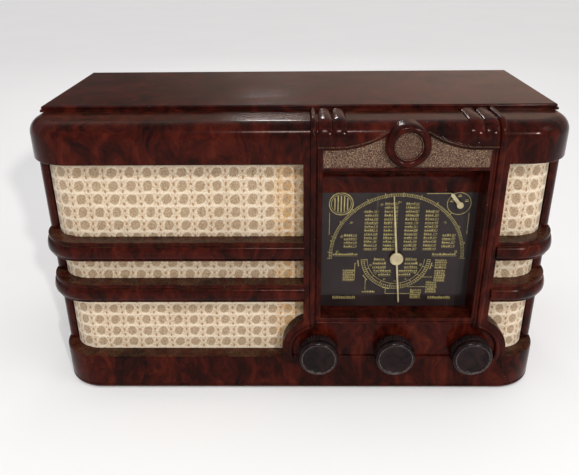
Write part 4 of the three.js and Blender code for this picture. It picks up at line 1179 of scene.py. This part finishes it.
def dial_print():
    rng = random.Random(7)
    shell = Shell()
    tuning_scale(shell)
    station_columns(shell, rng)
    ruled_names(shell, rng, HEADINGS, 1.2, 1.7, 0.32)
    ruled_names(shell, rng, INNER_NAMES, 1.1, 1.5, 0.26)
    lower_scale(shell)
    for mark, line, block in LEADS:
        lead(shell, rng, mark, line, block)
    roundel(shell)
    band_dial(shell)
    for x, z, wide, tall in ((30.1, 176, 0.5, 23), (162.4, 176, 0.5, 22), (132.5, 206.8, 23, 0.6)):
        bar(shell, x, z, wide, tall)
    build("dial_gold_print", shell, "case", GOLD, 20)


def dial_needle():
    """The tuning pointer: a slim ridged needle through a domed hub, leaning as it rests."""
    (low, high), (hx, hz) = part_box("dial_pointer"), HUB
    front, rear = (low[1] - FRONT_Y) * 1000, (high[1] - FRONT_Y) * 1000
    lean = math.radians(5.4)
    shell = Shell()
    stations = [(-48.5, 0.25), (-47.8, 0.75), (-20, 0.85), (0, 0.95), (20, 0.9), (45, 0.75), (65.4, 0.5),
                (66.2, 0.2)]
    points = []
    for reach, half in stations:
        for off, y in ((-half, front + 0.55), (-half * 0.5, front + 0.2), (0, front + 0.12),
                       (half * 0.5, front + 0.2),
                       (half, front + 0.55), (half, front + 0.9), (-half, front + 0.9)):
            points.append((hx + off * math.cos(lean) - reach * math.sin(lean), y,
                           hz + off * math.sin(lean) + reach * math.cos(lean)))
    shell.add(points, tube_faces(len(stations), 7))
    hub = [(0, rear), (6.0, rear), (6.45, rear - 0.25), (6.5, front + 0.7), (6.3, front + 0.25),
           (5.7, front + 0.05),
           (4.9, front), (4.4, front + 0.1), (2.2, front + 0.08), (1.6, front), (0, front)]
    lathe_y(shell, hub, hx, hz, 64)
    piece = build("dial_needle", shell, "tuning_train", POINTER, 40)
    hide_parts("dial_pointer")


# ---------------------------------------------------------------- knobs

def control_knob(name, x, body, seed):
    """A knob with a fluted skirt, a smooth rim and a dished face."""
    flutes = 38
    turn = random.Random(seed).uniform(0, 2 * math.pi)
    profile = [(0, -1.3), (18.4, -1.3), (19.2, -1.45), (19.8, -1.9), (20.0, -2.6), (20.0, -6.0), (19.9, -8.0),
               (19.6, -9.0), (19.0, -9.5), (18.7, -9.9), (18.9, -10.3), (19.5, -10.9), (19.85, -11.8),
               (19.95, -12.9),
               (19.8, -14.1), (19.35, -15.2), (18.6, -16.2), (17.8, -16.95), (17.2, -17.3), (16.75, -17.4),
               (16.3, -17.3), (15.95, -17.0), (15.6, -16.5), (15.1, -16.1), (14.0, -15.75), (11.5, -15.4),
               (8.5, -15.15),
               (5.0, -15.0), (2.0, -14.95), (0, -14.95)]

    def ripple(k, radius, angle):
        if 1 <= k <= 8:
            wave = 0.5 + 0.5 * math.cos(flutes * angle + turn)
            return radius - 1.1 * (1 - wave ** 0.7), 0.0
        return radius, 0.0

    shell = Shell()
    lathe_y(shell, profile, x, KNOBS["z"], flutes * 10, ripple,
            worn=lambda k, r: 0.9 if 19 <= k <= 21 else (0.12 if k < 9 and r > 19 else 0.0))
    piece = build(name + "_moulding", shell, body, MATERIALS["knob_bakelite"], 40)
    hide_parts(name)


# ---------------------------------------------------------------- carried-over nodes

def finish_nodes():
    """Each node that is still shown gets the material of its slot, and softened edges."""
    hidden = {"cabinet", "grille_cloth_left", "grille_cloth_right", "volume_knob", "tuning_knob", "band_knob",
              "dial_pointer"}
    for subpart in frame["record"]["subparts"]:
        name, slot = subpart["node"], subpart["material_slot"]
        if name in hidden:
            continue
        node = frame["nodes"][name]
        node.data.materials.clear()
        node.data.materials.append(POINTER if name == "band_pointer" else MATERIALS[slot])
        node.data.polygons.foreach_set("use_smooth", [True] * len(node.data.polygons))
        node.data.set_sharp_from_angle(angle=math.radians(38))
        if name not in ("dial_drive_cord", "band_cord", "dial_glass"):
            bevel = node.modifiers.new("soft_edges", "BEVEL")
            bevel.width = 0.00025
            bevel.segments = 2
            bevel.limit_method = "ANGLE"
            bevel.angle_limit = math.radians(50)
            bevel.use_clamp_overlap = True


def studio():
    """A pale floor, the sky and four lamps."""
    floor = Shell()
    floor.add([(-9000, -6000, -1.5), (9000, -6000, -1.5), (9000, 14000, -1.5), (-9000, 14000, -1.5)],
              [(0, 1, 2, 3)])
    mesh = bpy.data.meshes.new("floor")
    mesh.from_pydata([tuple(p) for p in to_row(floor.points)], [], floor.faces)
    mesh.materials.append(floor_material())
    ground = bpy.data.objects.new("floor", mesh)
    bpy.context.collection.objects.link(ground)
    add_world()
    add_area_light("lamp_over_camera", (0.02, -1.05, 1.15), (0, 0, 0.2), 0.32, 0.12, 8, WARM_WHITE)
    add_area_light("lamp_behind", (-0.10, 1.6, 1.05), (0, 0, 0.28), 0.20, 0.09, 2.6, WARM_WHITE)
    add_sun("low_sun", (-0.53, 1, -0.42), 1.5, 2.2, (1, 0.97, 0.93))
    add_area_light("side_softbox", (1.7, -0.9, 1.7), (0, 0, 0.1), 0.9, 0.9, 5)
    bpy.context.scene.view_settings.view_transform = "Standard"


add_camera()
studio()
case_moulding()
grille_cloth(-1, 14)
grille_cloth(1, 178)
dial_print()
dial_needle()
control_knob("volume_knob", 20, "volume_control_turning", 1)
control_knob("tuning_knob", 96, "tuning_control_turning", 2)
control_knob("band_knob", 172, "band_control_turning", 3)
finish_nodes()
